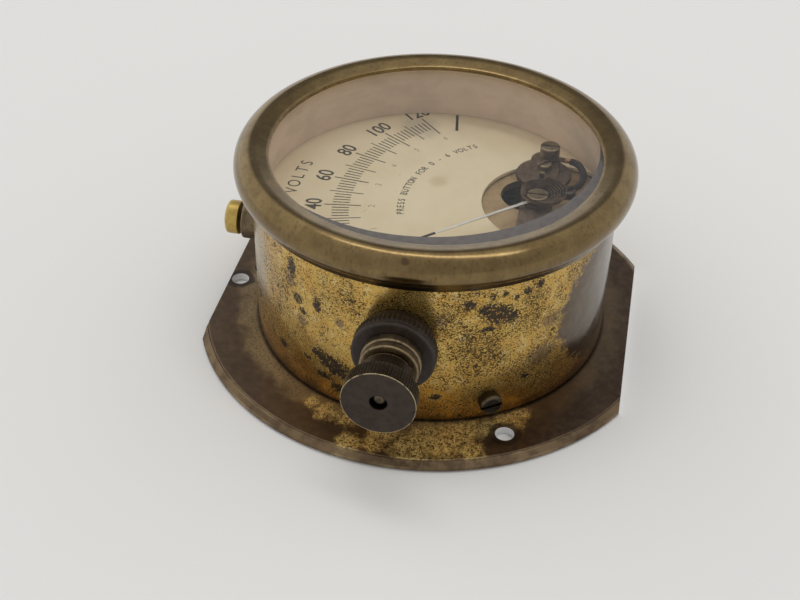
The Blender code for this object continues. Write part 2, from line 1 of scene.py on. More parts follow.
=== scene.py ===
"""How the brass-cased panel voltmeter looks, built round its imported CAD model.

Everything is set out in the CAD's frame: +Z out of the dial, +Y to its top, +X to its right.
Lengths below are millimetres and angles degrees; MM turns them into metres where meshes are
made. Shaders work in millimetres too, on the rest pose's coordinates.
"""

from math import atan2, cos, degrees, pi, radians, sin, tan

import bmesh
import bpy
from mathutils import Matrix, Vector


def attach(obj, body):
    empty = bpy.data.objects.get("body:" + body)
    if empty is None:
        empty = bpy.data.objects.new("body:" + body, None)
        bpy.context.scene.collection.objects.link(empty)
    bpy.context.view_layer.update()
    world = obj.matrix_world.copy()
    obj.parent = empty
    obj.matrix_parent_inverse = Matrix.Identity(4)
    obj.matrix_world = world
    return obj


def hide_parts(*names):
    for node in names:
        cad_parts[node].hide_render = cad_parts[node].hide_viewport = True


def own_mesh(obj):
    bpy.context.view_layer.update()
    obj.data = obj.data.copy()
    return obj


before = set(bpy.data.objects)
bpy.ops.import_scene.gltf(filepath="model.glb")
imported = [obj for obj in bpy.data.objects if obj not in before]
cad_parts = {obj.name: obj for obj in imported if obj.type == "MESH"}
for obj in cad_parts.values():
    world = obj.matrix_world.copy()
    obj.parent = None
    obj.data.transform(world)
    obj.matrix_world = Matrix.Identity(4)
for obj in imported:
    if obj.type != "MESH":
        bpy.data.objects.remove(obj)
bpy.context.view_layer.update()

MM = 0.001
GAP = 0.3
SMOOTH_ANGLE = radians(34)

# The case.
FLANGE_RADIUS = 55.1
FLANGE_TOP = 1.9
FLANGE_RIM_WIDTH = 1.7
FLAT_TOP_Y = 50.1
FLAT_BOTTOM_Y = -47.5
SPIGOT_RADIUS = 40.0
MOUNT_CIRCLE = 47.6
MOUNT_HOLE = 2.1
MOUNT_ANGLES = (90, 210, 330)
DRUM_RADIUS = 41.2
DRUM_WALL = 0.8
DRUM_TOP = 42.9
SCREW_ANGLES = (88, 208, 328)
SCREW_HEIGHT = 6.8
SCREW_TURNS = (25, 8, 40)
ROLL_CENTRE = (40.8, 43.15)
ROLL_RADIUS = 4.15
LIP_RADIUS = 37.08
LIP_TOP = 46.2
GLASS_RADIUS = 41.0
GLASS_BOTTOM = 43.2
GLASS_TOP = 45.2
SLEEVE_INNER = 39.5
SLEEVE_OUTER = 40.1
# The packing is what a disc inside the sleeve leaves beyond a second, off-centre disc.
PACKING_RADIUS = 39.2
PACKING_HOLE_CENTRE = (7.5, 3.35)
PACKING_HOLE_RADIUS = 39.3

# The dial and its scale, drawn about the pivot of the coil.
PIVOT = (0.6, -23.3)
DIAL_TOP = 30.6
DIAL_RADIUS = 40.0
INK_TOP = DIAL_TOP + 0.02
WINDOW_CENTRE = (4.9, -26.9)
WINDOW_RADIUS = 16.5
ZERO_ANGLE = 126.2
DEGREES_PER_VOLT = 0.6925
FULL_SCALE = 120
# Inner radius, outer radius and width of the marks.
TICKS = {"major": (39.7, 48.0, 0.34), "middle": (39.7, 47.6, 0.28), "minor": (42.3, 46.2, 0.32)}
NUMBER_RADIUS = 50.3
LOW_NUMBER_RADIUS = 37.2
UNIT = "VOLTS"
UNIT_RADIUS = 56.2
UNIT_ANGLES = (93.3, 90.2, 87.0, 83.9, 80.9)
HINT = "PRESS BUTTON FOR 0 - 6 VOLTS"
HINT_RADIUS = 30.6
HINT_START = 103.0
HINT_STEP = 2.5

# The movement.
STOP_CIRCLE = 39.3
STOP_ANGLES = {"stop_pin_zero": 133.7, "stop_pin_full": 36.5}
STOP_RADIUS = 0.36
STOP_TOP = 34.8
POINTER_REST = 132.0
POINTER_HEIGHT = 34.2
POINTER_LENGTH = 43.5
COLLET_TOP = 35.6
CHASSIS_RADIUS = 39.3
CHASSIS_TOP = 29.5
CHASSIS_BOTTOM = 27.9
CHASSIS_HOLE = (8.8, -20.8)
CHASSIS_HOLE_RADIUS = 6.5
BRIDGE_BOTTOM = 32.4
BRIDGE_TOP = 33.4
BRIDGE_ENDS = (-17.1, 19.2)
BRIDGE_HALF_WIDTH = 3.5
FEET = {"left": -17.1, "right": 15.2}
FOOT_RADIUS = 6.5
# The screws over the feet: head radius, height of its top, and turn of its slot.
FOOT_SCREWS = {"left": (2.55, 36.4, 20), "right": (1.7, 34.8, -42)}
LEAD_SCREW = (19.6, -24.0)
LEAD_SCREW_TOP = 36.9
LEAD_RADIUS = 0.8
LEAD_ROUTE = (
    (18.4, -29.2, 33.9), (17.8, -30.2, 34.1), (16.8, -31.3, 34.0), (15.6, -32.2, 33.5),
    (14.4, -32.6, 32.8), (13.2, -32.4, 32.1), (12.1, -31.6, 31.4), (11.6, -30.6, 30.8),
)

# Terminals and push-button, on radial axes.
TERMINAL_HEIGHT = 24.0
TERMINAL_ANGLES = {"left": 180, "right": 0}
TERMINAL_BORE = 1.8
THUMB_RADIUS = 7.75
BUTTON_ANGLE = 90
BUTTON_HEIGHT = 20.4

# Light and camera, in metres.
FLOOR_RADIUS = 4.0
LAMP_PLACE = (0.15, -0.05, 1.2)
LAMP_TARGET = (0, 0, 0.02)
LAMP_SIZE = (1.10, 0.15)
LAMP_POWER = 2.5
CAMERA_PLACE = (-0.25757, -0.04079, 0.20624)
CAMERA_TARGET = (-0.0228, 0.0032, 0.0200)
CAMERA_ROLL = 0.01924
CAMERA_LENS = 61.645
CAMERA_SENSOR = 36.0

IDENTITY = Matrix.Identity(4)


# ---------------------------------------------------------------------------
# Meshes


def upright(x=0.0, y=0.0, z=0.0):
    return Matrix.Translation(Vector((x, y, z)) * MM)


def outward(angle, height):
    """A frame on the case's axis at this height, whose local Z runs out of the case."""
    turn = Matrix.Rotation(radians(angle), 4, "Z") @ Matrix.Rotation(pi / 2, 4, "Y")
    return upright(z=height) @ turn


def finish_object(name, maker, material, body, nodes=(), wear=None):
    """Makes an object of a filled bmesh, rides it on a body, and hides the CAD nodes it
    stands for. material is a name in MATERIALS. wear has one number for each vertex."""
    bmesh.ops.recalc_face_normals(maker, faces=maker.faces)
    if maker.calc_volume(signed=True) < 0:
        bmesh.ops.reverse_faces(maker, faces=maker.faces)
    mesh = bpy.data.meshes.new(name)
    maker.to_mesh(mesh)
    maker.free()
    if wear is not None:
        layer = mesh.attributes.new("wear", "FLOAT", "POINT")
        layer.data.foreach_set("value", wear)
    mesh.materials.append(MATERIALS[material] if material else None)
    mesh.shade_smooth()
    mesh.set_sharp_from_angle(angle=SMOOTH_ANGLE)
    item = bpy.data.objects.new(name, mesh)
    bpy.context.scene.collection.objects.link(item)
    if body:
        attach(item, body)
    if nodes:
        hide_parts(*nodes)
    return item


def rounded(outline):
    """Fillets an outline. Each point is (radius, height, fillet, groove), the last two
    optional. Returns (radius, height, groove, wear) points, with wear 1 on the fillets."""
    points = []
    count = len(outline)
    for index, corner in enumerate(outline):
        radius, height, fillet, groove = (*corner, 0, 0)[:4]
        here = Vector((radius, height))
        if not fillet:
            points.append((radius, height, groove, 0.0))
            continue
        before = Vector(outline[index - 1][:2]) - here
        after = Vector(outline[(index + 1) % count][:2]) - here
        reach_before, reach_after = before.length, after.length
        before.normalize()
        after.normalize()
        half = before.angle(after) / 2
        tangent = min(fillet / tan(half), 0.48 * reach_before, 0.48 * reach_after)
        fillet = tangent * tan(half)
        guard = tangent * 1.9
        if guard < 0.5 * reach_before:
            points.append((*(here + before * guard), groove, 0.0))
        centre = here + (before + after).normalized() * (fillet / sin(half))
        start = here + before * tangent - centre
        end = here + after * tangent - centre
        steps = 5
        for step in range(steps + 1):
            arm = start.slerp(end, step / steps) * fillet
            points.append((*(centre + arm), groove, 1.0))
        if guard < 0.5 * reach_after:
            points.append((*(here + after * guard), groove, 0.0))
    return points


def lathe(name, outline, material, body, nodes=(), place=IDENTITY, segments=160, teeth=0):
    """Turns a closed outline about local Z. Grooves are cut where its points ask for them."""
    if teeth:
        segments = teeth * 8
    maker = bmesh.new()
    rings = []
    wear = []
    for radius, height, groove, worn in rounded(outline):
        if radius < 1e-6:
            rings.append([maker.verts.new(Vector((0, 0, height)) * MM)])
            wear.append(worn)
            continue
        ring = []
        for step in range(segments):
            angle = 2 * pi * step / segments
            reach = radius
            ridge = 0.0
            if groove:
                phase = (angle * teeth / (2 * pi)) % 1
                ridge = 1 - abs(2 * phase - 1)
                reach -= groove * min(1.0, 1.25 * (1 - ridge))
            point = Vector((reach * cos(angle), reach * sin(angle), height))
            ring.append(maker.verts.new(point * MM))
            wear.append(max(worn, ridge ** 6 * 0.35 if groove else 0.0))
        rings.append(ring)
    for lower, upper in zip(rings, rings[1:] + rings[:1]):
        if len(lower) == len(upper) == 1:
            continue
        for step in range(segments):
            after = (step + 1) % segments
            corners = [lower[step % len(lower)], lower[after % len(lower)]]
            corners += [upper[after % len(upper)], upper[step % len(upper)]]
            maker.faces.new(list(dict.fromkeys(corners)))
    maker.transform(place)
    return finish_object(name, maker, material, body, nodes, wear=wear)


def plate(name, outline, bottom, top, material, body, nodes=(), place=IDENTITY, bevel=0.0):
    """Extrudes a closed outline of (x, y) points from bottom to top and rounds its edges."""
    maker = bmesh.new()
    floor = [maker.verts.new(Vector((x, y, bottom)) * MM) for x, y in outline]
    lid = [maker.verts.new(Vector((x, y, top)) * MM) for x, y in outline]
    faces = [maker.faces.new(floor), maker.faces.new(lid)]
    for index in range(len(outline)):
        after = (index + 1) % len(outline)
        maker.faces.new([floor[index], floor[after], lid[after], lid[index]])
    bmesh.ops.recalc_face_normals(maker, faces=maker.faces)
    if bevel:
        rim = list({edge for face in faces for edge in face.edges})
        bmesh.ops.bevel(maker, geom=rim, offset=bevel * MM, segments=3, profile=0.5,
                        affect="EDGES", clamp_overlap=True)
    maker.transform(place)
    return finish_object(name, maker, material, body, nodes)


def arc(centre, radius, start, end, steps):
    turns = [radians(start + (end - start) * step / steps) for step in range(steps + 1)]
    return [(centre[0] + radius * cos(turn), centre[1] + radius * sin(turn)) for turn in turns]


def polar(radius, angle, centre=PIVOT):
    return (centre[0] + radius * cos(radians(angle)), centre[1] + radius * sin(radians(angle)))


def cut(item, *cutters):
    """Takes cutters out of an item, for good."""
    for cutter in cutters:
        modifier = item.modifiers.new("cut", "BOOLEAN")
        modifier.operation = "DIFFERENCE"
        modifier.solver = "MANIFOLD"
        modifier.object = cutter
        bpy.context.view_layer.update()
        graph = bpy.context.evaluated_depsgraph_get()
        mesh = bpy.data.meshes.new_from_object(item.evaluated_get(graph))
        item.modifiers.clear()
        item.data = mesh
        bpy.data.objects.remove(cutter, do_unlink=True)
    item.data.set_sharp_from_angle(angle=SMOOTH_ANGLE)


def cutter_rod(radius, bottom, top, place=IDENTITY, segments=64):
    outline = [(0, bottom), (radius, bottom), (radius, top), (0, top)]
    return lathe("cutter", outline, None, None, place=place, segments=segments)


def cutter_box(low, high, place=IDENTITY):
    outline = [(low[0], low[1]), (high[0], low[1]), (high[0], high[1]), (low[0], high[1])]
    return plate("cutter", outline, low[2], high[2], None, None, place=place)


def sweep(maker, rings):
    """Joins rings that have as many points each into a tube with closed ends."""
    sides = len(rings[0])
    for near, far in zip(rings, rings[1:]):
        for side in range(sides):
            after = (side + 1) % sides
            maker.faces.new([near[side], near[after], far[after], far[side]])
    maker.faces.new(rings[0])
    maker.faces.new(rings[-1])


def strip_mesh(name, pieces, height, material, body):
    """Flat quads, each a list of four (x, y) corners, at one height."""
    maker = bmesh.new()
    for corners in pieces:
        maker.faces.new([maker.verts.new(Vector((x, y, height)) * MM) for x, y in corners])
    return finish_object(name, maker, material, body)


# ---------------------------------------------------------------------------
# Shaders


class Shader:
    """One material's nodes. Colours and numbers may be plain values or sockets."""

    def __init__(self, name):
        self.material = bpy.data.materials.new(name)
        self.material.use_nodes = True
        self.tree = self.material.node_tree
        self.surface = self.tree.nodes["Principled BSDF"]
        where = self.tree.nodes.new("ShaderNodeTexCoord")
        self.place = self.vector("MULTIPLY", where.outputs["Object"], (1000, 1000, 1000))

    def put(self, socket, value):
        if isinstance(value, bpy.types.NodeSocket):
            self.tree.links.new(value, socket)
        elif isinstance(value, tuple) and socket.type == "RGBA":
            socket.default_value = (*value[:3], 1.0)
        else:
            socket.default_value = value

    def add(self, kind, inputs, output=0, **settings):
        node = self.tree.nodes.new(kind)
        for key, value in settings.items():
            setattr(node, key, value)
        for key, value in inputs.items():
            self.put(node.inputs[key], value)
        return node.outputs[output]

    def vector(self, operation, a, b=(0, 0, 0)):
        output = "Value" if operation == "LENGTH" else "Vector"
        return self.add("ShaderNodeVectorMath", {0: a, 1: b}, output, operation=operation)

    def maths(self, operation, a, b=0.0):
        return self.add("ShaderNodeMath", {0: a, 1: b}, operation=operation)

    def stretched(self, stretch=(1, 1, 1), shift=0.0):
        moved = self.vector("ADD", self.place, (shift, shift * 0.7, shift * 1.3))
        return self.vector("MULTIPLY", moved, stretch)

    def noise(self, scale, detail=3.0, roughness=0.6, stretch=(1, 1, 1), shift=0.0, warp=0.0):
        """Noise from 0 to 1 with this many features to the millimetre."""
        inputs = {"Vector": self.stretched(stretch, shift), "Scale": scale, "Detail": detail}
        inputs.update({"Roughness": roughness, "Distortion": warp})
        return self.add("ShaderNodeTexNoise", inputs)

    def cell_edges(self, scale, stretch, shift):
        """Distance to the nearest edge between cells, which a crack follows."""
        inputs = {"Vector": self.stretched(stretch, shift), "Scale": scale}
        return self.add("ShaderNodeTexVoronoi", inputs, "Distance", feature="DISTANCE_TO_EDGE")

    def band(self, value, low, high):
        """0 below low and 1 above high, or the other way round if low is above high."""
        inputs = {"Value": value, "From Min": low, "From Max": high}
        return self.add("ShaderNodeMapRange", inputs, interpolation_type="SMOOTHSTEP")

    def span(self, value, low, high):
        """Stretches a value from 0..1 to low..high."""
        return self.add("ShaderNodeMapRange", {"Value": value, "To Min": low, "To Max": high})

    def mix(self, factor, a, b):
        inputs = {0: factor, 6: a, 7: b}
        return self.add("ShaderNodeMix", inputs, 2, data_type="RGBA")

    def both(self, a, b):
        return self.maths("MULTIPLY", a, b)

    def most(self, a, b):
        return self.maths("MAXIMUM", a, b)

    def without(self, a, b):
        return self.both(a, self.maths("SUBTRACT", 1.0, b))

    def axis(self, name):
        return self.add("ShaderNodeSeparateXYZ", {0: self.place}, name)

    def from_axis(self, centre=(0, 0)):
        """Distance from a vertical axis, in millimetres."""
        moved = self.vector("SUBTRACT", self.place, (*centre, 0))
        return self.vector("LENGTH", self.vector("MULTIPLY", moved, (1, 1, 0)))

    def blob(self, point, size, tall=1.0, ragged=None, soft=0.35):
        """1 within size of a point and 0 beyond it, with an edge that ragged pushes about."""
        moved = self.vector("SUBTRACT", self.place, point)
        reach = self.vector("LENGTH", self.vector("MULTIPLY", moved, (1, 1, 1 / tall)))
        reach = self.maths("DIVIDE", reach, size)
        if ragged is not None:
            reach = self.maths("ADD", reach, ragged)
        return self.band(reach, 1 + soft, 1 - soft)

    def blobs(self, places, ragged, soft):
        """The union of blobs, each given by its point, size and tallness."""
        found = None
        for point, size, tall in places:
            patch = self.blob(point, size, tall, ragged, soft)
            found = patch if found is None else self.most(found, patch)
        return found

    def worn(self):
        return self.add("ShaderNodeAttribute", {}, "Fac", attribute_name="wear")

    def bump(self, height, distance, strength=1.0):
        """distance is the height of 1 on the value, in millimetres."""
        inputs = {"Height": height, "Distance": distance * MM, "Strength": strength}
        normal = self.add("ShaderNodeBump", inputs)
        self.put(self.surface.inputs["Normal"], normal)

    def end(self, color, metallic, roughness, **plain):
        for name, value in (("Base Color", color), ("Metallic", metallic),
                            ("Roughness", roughness)):
            self.put(self.surface.inputs[name], value)
        for name, value in plain.items():
            self.surface.inputs[name.replace("_", " ")].default_value = value
        return self.material


def drum_point(angle, height, radius=DRUM_RADIUS):
    return (radius * cos(radians(angle)), radius * sin(radians(angle)), height)


def on_drum(patches):
    return [(drum_point(angle, height), size, tall) for angle, height, size, tall in patches]


GOLD = (0.62, 0.42, 0.118)
PATINA = (0.075, 0.050, 0.036)
UMBER = (0.028, 0.019, 0.013)
# The brown the drum turns towards its bottom.
FOOT_BROWN = (0.34, 0.165, 0.035)

# Where the drum's lacquer has gone dark: angle, height, radius and tallness.
DARK_PATCHES = (
    (209.5, 30.2, 3.1, 0.8), (206.0, 31.6, 2.1, 0.8), (213.0, 28.8, 2.1, 0.7),
    (200.5, 33.4, 1.4, 0.9), (206.5, 26.6, 1.6, 0.4), (153.5, 26.6, 1.1, 1.6),
    (145.3, 25.6, 1.5, 0.9), (147.5, 22.8, 1.0, 1.0), (157.0, 12.6, 2.8, 0.8),
    (160.5, 11.6, 3.2, 0.7), (153.5, 13.4, 2.1, 0.8), (149.0, 10.6, 1.2, 0.7),
    (155.0, 8.0, 2.2, 0.4), (164.5, 10.0, 2.6, 0.6), (161.0, 6.0, 2.4, 0.5),
    (137.0, 9.2, 1.9, 0.6),
    (191.6, 8.9, 1.3, 0.6), (219.7, 10.8, 1.2, 0.6), (143.0, 33.0, 1.3, 2.2),
    (222.5, 35.4, 0.8, 1.2), (218.0, 34.6, 0.9, 0.8), (214.6, 33.6, 0.7, 1.0),
    (211.0, 35.2, 0.6, 1.0), (207.0, 35.0, 0.7, 1.3), (20.0, 30.0, 2.0, 0.8),
    (355.0, 12.0, 2.2, 0.6), (338.0, 33.0, 1.4, 1.1), (48.0, 18.0, 1.6, 1.0),
    (62.0, 31.0, 1.8, 0.7), (12.0, 8.0, 1.7, 0.5), (325.0, 22.0, 1.3, 1.2),
    (75.0, 9.0, 2.0, 0.5), (118.0, 14.0, 1.8, 0.7), (305.0, 30.0, 1.8, 0.8),
)
# Where it has a thin grey or purple film.
FILM_PATCHES = (
    (227.6, 24.2, 2.2, 0.8), (161.6, 24.6, 1.2, 1.0), (147.0, 20.2, 1.5, 0.8),
    (192.0, 29.4, 1.5, 0.8), (224.5, 15.6, 3.2, 0.8), (142.0, 29.5, 1.4, 1.0),
)
# Where the flange is rubbed through to brass: angle, radius and size.
RUBBED_PATCHES = (
    (160.0, 45.0, 2.6), (166.0, 44.8, 2.4), (170.0, 51.6, 2.6), (178.0, 46.0, 3.4),
    (185.3, 49.7, 4.4), (190.0, 46.6, 4.6), (193.0, 49.0, 3.8), (198.6, 44.6, 4.4),
    (200.0, 51.0, 2.6), (205.5, 44.2, 3.2), (212.5, 44.0, 3.4), (218.0, 43.0, 2.0),
    (176.0, 50.6, 2.2), (154.0, 44.2, 1.8),
)


def specks(shader, scale, least, most, stretch=(1, 1, 1), shift=0.0, crowd=None):
    """Small dark marks. crowd is a slow noise that gathers them."""
    grain = shader.noise(scale, 4.0, 0.62, stretch, shift, 0.4)
    if crowd is not None:
        grain = shader.maths("ADD", grain, crowd)
    return shader.band(grain, least, most)


def make_drum_brass():
    """Lacquered brass whose lacquer has specked, cracked and gone dark."""
    s = Shader("drum_brass")
    ragged = s.span(s.noise(1.7, 5.0, 0.7), -1.6, 1.6)
    slow = s.span(s.noise(0.12, 3.0, 0.62), -0.15, 0.15)
    crowded = s.blob(drum_point(207, 27.0), 15.0, 0.8, None, 0.8)
    slow = s.maths("ADD", slow, s.both(crowded, 0.022))
    fine = specks(s, 2.3, 0.565, 0.595, (1, 1, 1.3), 0.0, slow)
    finer = specks(s, 3.9, 0.56, 0.60, (1, 1, 1.2), 51.0, slow)
    coarse = specks(s, 0.7, 0.64, 0.67, (1, 1, 1.4), 31.0, slow)
    halo = specks(s, 2.3, 0.50, 0.58, (1, 1, 1.3), 0.0, slow)
    cell = s.cell_edges(0.42, (1, 1, 1.2), 7.0)
    cracked = s.band(s.noise(0.35, 2.0, 0.5, shift=3.0), 0.5, 0.62)
    crack = s.both(s.band(cell, 0.05, 0.012), cracked)
    marks = s.most(s.most(fine, coarse), s.most(s.both(crack, 0.85), s.both(finer, 0.6)))
    patches = s.blobs(on_drum(DARK_PATCHES), ragged, 0.12)
    film = s.blobs(on_drum(FILM_PATCHES), ragged, 0.3)
    # The lacquer is gone at the foot of the dial, down to grey metal, and thin by the button.
    bare_edge = s.span(s.noise(0.5, 5.0, 0.65, shift=12.0), -0.45, 0.45)
    bare = s.blob(drum_point(264, 21.0), 23.0, 0.78, s.both(bare_edge, 0.55), 0.05)
    thin = s.blob(drum_point(104, 27.0), 17.0, 1.0, s.both(bare_edge, 0.5), 0.3)
    tone = s.noise(0.22, 3.0, 0.6, shift=5.0)
    gold = s.mix(s.band(tone, 0.35, 0.7), GOLD, (0.64, 0.385, 0.09))
    gold = s.mix(s.band(s.noise(0.5, 2.0, 0.5, shift=9.0), 0.5, 0.75), gold, (0.72, 0.53, 0.22))
    low = s.maths("ADD", s.axis("Z"), s.span(s.noise(0.16, 3.0, 0.6, (1, 1, 2)), -5.5, 5.5))
    # Browner towards the bottom of the drum.
    gold = s.mix(s.both(s.band(low, 13.0, 3.0), 0.9), gold, FOOT_BROWN)
    # Painted shade at the foot of the drum, where it meets the flange.
    gold = s.mix(s.both(s.band(low, 5.5, 2.2), 0.75), gold, (0.10, 0.05, 0.018))
    gold = s.mix(s.both(halo, 0.5), gold, (0.36, 0.20, 0.06))
    bare_color = s.mix(s.band(s.noise(0.6, 4.0, 0.6, shift=2.0), 0.4, 0.7),
                       (0.128, 0.094, 0.060), (0.168, 0.128, 0.088))
    color = s.mix(bare, gold, bare_color)
    color = s.mix(s.both(thin, 0.75), color, (0.30, 0.245, 0.165))
    color = s.mix(s.both(film, 0.62), color, (0.13, 0.085, 0.075))
    speck = s.without(marks, s.both(bare, 0.82))
    speck = s.without(speck, s.both(thin, 0.45))
    color = s.mix(s.both(speck, 0.86), color, UMBER)
    dark = s.both(s.without(patches, bare), s.band(s.noise(1.5, 3.0, 0.6, shift=41.0), 0.33, 0.43))
    color = s.mix(s.both(dark, 0.93), color, (0.032, 0.027, 0.027))
    soiled = s.most(speck, dark)
    rough = s.span(s.noise(0.8, 3.0, 0.6, shift=4.0), 0.16, 0.32)
    rough = s.without(rough, s.both(bare, 0.35))
    rough = s.maths("ADD", rough, s.both(soiled, 0.22))
    relief = s.maths("SUBTRACT", s.both(s.noise(0.05, 2.0, 0.5), 1.2), s.both(soiled, 0.03))
    relief = s.maths("ADD", relief, s.both(s.noise(3.0, 3.0, 0.6, (0.25, 0.25, 2.5)), 0.006))
    s.bump(relief, 1.0, 0.7)
    return s.end(color, 1.0, rough, Coat_Weight=0.12, Coat_Roughness=0.12)


def make_bezel_brass():
    """Brown, handled brass with its turning marks."""
    s = Shader("bezel_brass")
    tone = s.noise(0.13, 4.0, 0.62)
    color = s.mix(s.band(tone, 0.36, 0.66), (0.232, 0.163, 0.066), (0.170, 0.113, 0.044))
    color = s.mix(s.both(s.band(s.noise(0.45, 5.0, 0.7, shift=8.0), 0.52, 0.70), 0.6),
                  color, (0.14, 0.085, 0.035))
    streak = s.noise(1.6, 3.0, 0.6, (1, 1, 0.2), 14.0)
    color = s.mix(s.both(s.band(streak, 0.52, 0.70), 0.6), color, (0.12, 0.07, 0.028))
    color = s.mix(s.both(specks(s, 1.1, 0.68, 0.74, shift=21.0), 0.75), color, UMBER)
    color = s.mix(s.both(s.band(s.noise(0.3, 3.0, 0.6, shift=33.0), 0.56, 0.74), 0.3),
                  color, (0.27, 0.20, 0.105))
    spot = s.blob((-43.6, -1.5, 46.4), 0.8, 1.0, s.span(s.noise(0.9), -0.4, 0.4), 0.3)
    color = s.mix(s.both(spot, 0.65), color, (0.06, 0.03, 0.022))
    # Painted shade on the skirt under the roll, where the bezel meets the drum.
    seam = s.band(s.axis("Z"), 40.6, 38.6)
    color = s.mix(s.both(seam, 0.7), color, (0.05, 0.036, 0.024))
    rough = s.span(s.noise(0.6, 4.0, 0.6, shift=6.0), 0.17, 0.28)
    relief = s.maths("ADD", s.both(s.noise(0.06, 2.0, 0.5), 0.5),
                     s.both(s.noise(2.2, 4.0, 0.7), 0.010))
    s.bump(relief, 1.0, 0.6)
    return s.end(color, 1.0, rough, Coat_Weight=0.28, Coat_Roughness=0.16)


def make_flange_brass():
    """Dark patina, rubbed through to brass in places and dirty round the holes."""
    s = Shader("flange_brass")
    ragged = s.span(s.noise(0.55, 6.0, 0.72), -1.1, 1.1)
    gold = s.blobs([(drum_point(angle, FLANGE_TOP, radius), size, 1.0)
                    for angle, radius, size in RUBBED_PATCHES], ragged, 0.45)
    gold = s.both(gold, s.band(s.noise(1.3, 4.0, 0.7, shift=13.0), 0.36, 0.5))
    from_axis = s.from_axis()
    near = s.maths("ADD", from_axis, s.span(s.noise(0.22, 4.0, 0.62, shift=4.0), -4.5, 4.5))
    inner = s.band(near, 48.0, 43.0)
    tone = s.noise(0.5, 5.0, 0.66, shift=2.0)
    across = s.band(s.axis("Y"), -34.0, -14.0)
    color = s.mix(s.band(tone, 0.35, 0.7), PATINA, (0.115, 0.078, 0.05))
    color = s.mix(s.both(across, 0.3), color, (0.19, 0.13, 0.08))
    inner = s.both(inner, s.span(across, 0.25, 1.0))
    color = s.mix(s.both(inner, 0.78), color, (0.39, 0.28, 0.14))
    rubbed = s.mix(s.band(s.noise(0.9, 3.0, 0.6, shift=6.0), 0.4, 0.65),
                   (0.95, 0.69, 0.25), (0.74, 0.51, 0.165))
    color = s.mix(s.both(gold, 0.92), color, rubbed)
    grit = specks(s, 2.6, 0.52, 0.58, shift=9.0)
    color = s.mix(s.both(grit, s.both(s.most(gold, s.both(inner, 0.6)), 0.88)), color, UMBER)
    holes = s.blobs([((*polar(MOUNT_CIRCLE, angle, (0, 0)), FLANGE_TOP), 3.6, 1.0)
                     for angle in MOUNT_ANGLES], s.both(ragged, 0.35), 0.12)
    color = s.mix(s.both(holes, 0.85), color, (0.05, 0.037, 0.03))
    # The turned rim is rubbed paler than the face.
    rim = s.band(from_axis, FLANGE_RADIUS - FLANGE_RIM_WIDTH - 0.25,
                 FLANGE_RADIUS - FLANGE_RIM_WIDTH + 0.15)
    rim_color = s.mix(s.band(s.noise(0.2, 5.0, 0.68, shift=17.0), 0.38, 0.66),
                      (0.20, 0.142, 0.080), (0.10, 0.067, 0.042))
    color = s.mix(s.both(rim, 0.85), color, rim_color)
    edge = s.both(s.band(s.noise(0.12, 3.0, 0.6, shift=23.0), 0.45, 0.65),
                  s.span(s.noise(2.5, 3.0, 0.6, shift=27.0), 0.3, 1.0))
    color = s.mix(s.both(s.worn(), s.both(edge, 0.7)), color, (0.45, 0.35, 0.21))
    # Painted shade in the corner where the drum stands on the flange.
    seam = s.band(from_axis, DRUM_RADIUS + 0.9, DRUM_RADIUS + 0.1)
    color = s.mix(s.both(seam, 0.8), color, (0.03, 0.02, 0.014))
    rough = s.span(s.noise(0.7, 4.0, 0.6, shift=3.0), 0.28, 0.5)
    relief = s.maths("ADD", s.both(s.noise(0.08, 2.0, 0.5), 0.7),
                     s.both(s.noise(2.2, 4.0, 0.65), 0.014))
    s.bump(relief, 1.0, 0.7)
    metallic = s.maths("SUBTRACT", 1.0, s.both(s.most(gold, s.both(inner, 0.7)), 0.4))
    return s.end(color, metallic, rough, Coat_Weight=0.06, Coat_Roughness=0.3)


def make_aged_metal(name, base, dark, bright, dirt=0.5, rough=(0.25, 0.42), grain=1.0,
                    metallic=1.0, edge=0.9):
    """A handled metal: base colour mottled with dark, and bright on its worn edges."""
    s = Shader(name)
    color = s.mix(s.band(s.noise(0.5 * grain, 4.0, 0.65), 0.38, 0.68), base, dark)
    spots = specks(s, 1.7 * grain, 0.62, 0.7, shift=15.0)
    dark_spot = tuple(0.4 * part for part in dark)
    color = s.mix(s.both(spots, dirt), color, dark_spot)
    broken = s.band(s.noise(0.9 * grain, 3.0, 0.6, shift=7.0), 0.3, 0.52)
    color = s.mix(s.both(s.worn(), s.both(broken, edge)), color, bright)
    roughness = s.span(s.noise(0.9 * grain, 4.0, 0.6, shift=2.0), *rough)
    s.bump(s.noise(2.6 * grain, 4.0, 0.65), 0.012, 0.8)
    return s.end(color, metallic, roughness)


def make_ebonite():
    """Black moulded insulation, gone a little brown and dusty."""
    s = Shader("ebonite")
    color = s.mix(s.band(s.noise(0.6, 4.0, 0.6), 0.4, 0.7), (0.024, 0.016, 0.012),
                  (0.042, 0.029, 0.021))
    dust = specks(s, 2.4, 0.66, 0.72, shift=5.0)
    color = s.mix(s.both(dust, 0.35), color, (0.16, 0.13, 0.11))
    color = s.mix(s.both(s.worn(), 0.35), color, (0.08, 0.065, 0.06))
    roughness = s.span(s.noise(1.0, 3.0, 0.6, shift=3.0), 0.35, 0.55)
    s.bump(s.noise(2.0, 4.0, 0.65), 0.02, 0.8)
    return s.end(color, 0.0, roughness, Specular_IOR_Level=0.3)


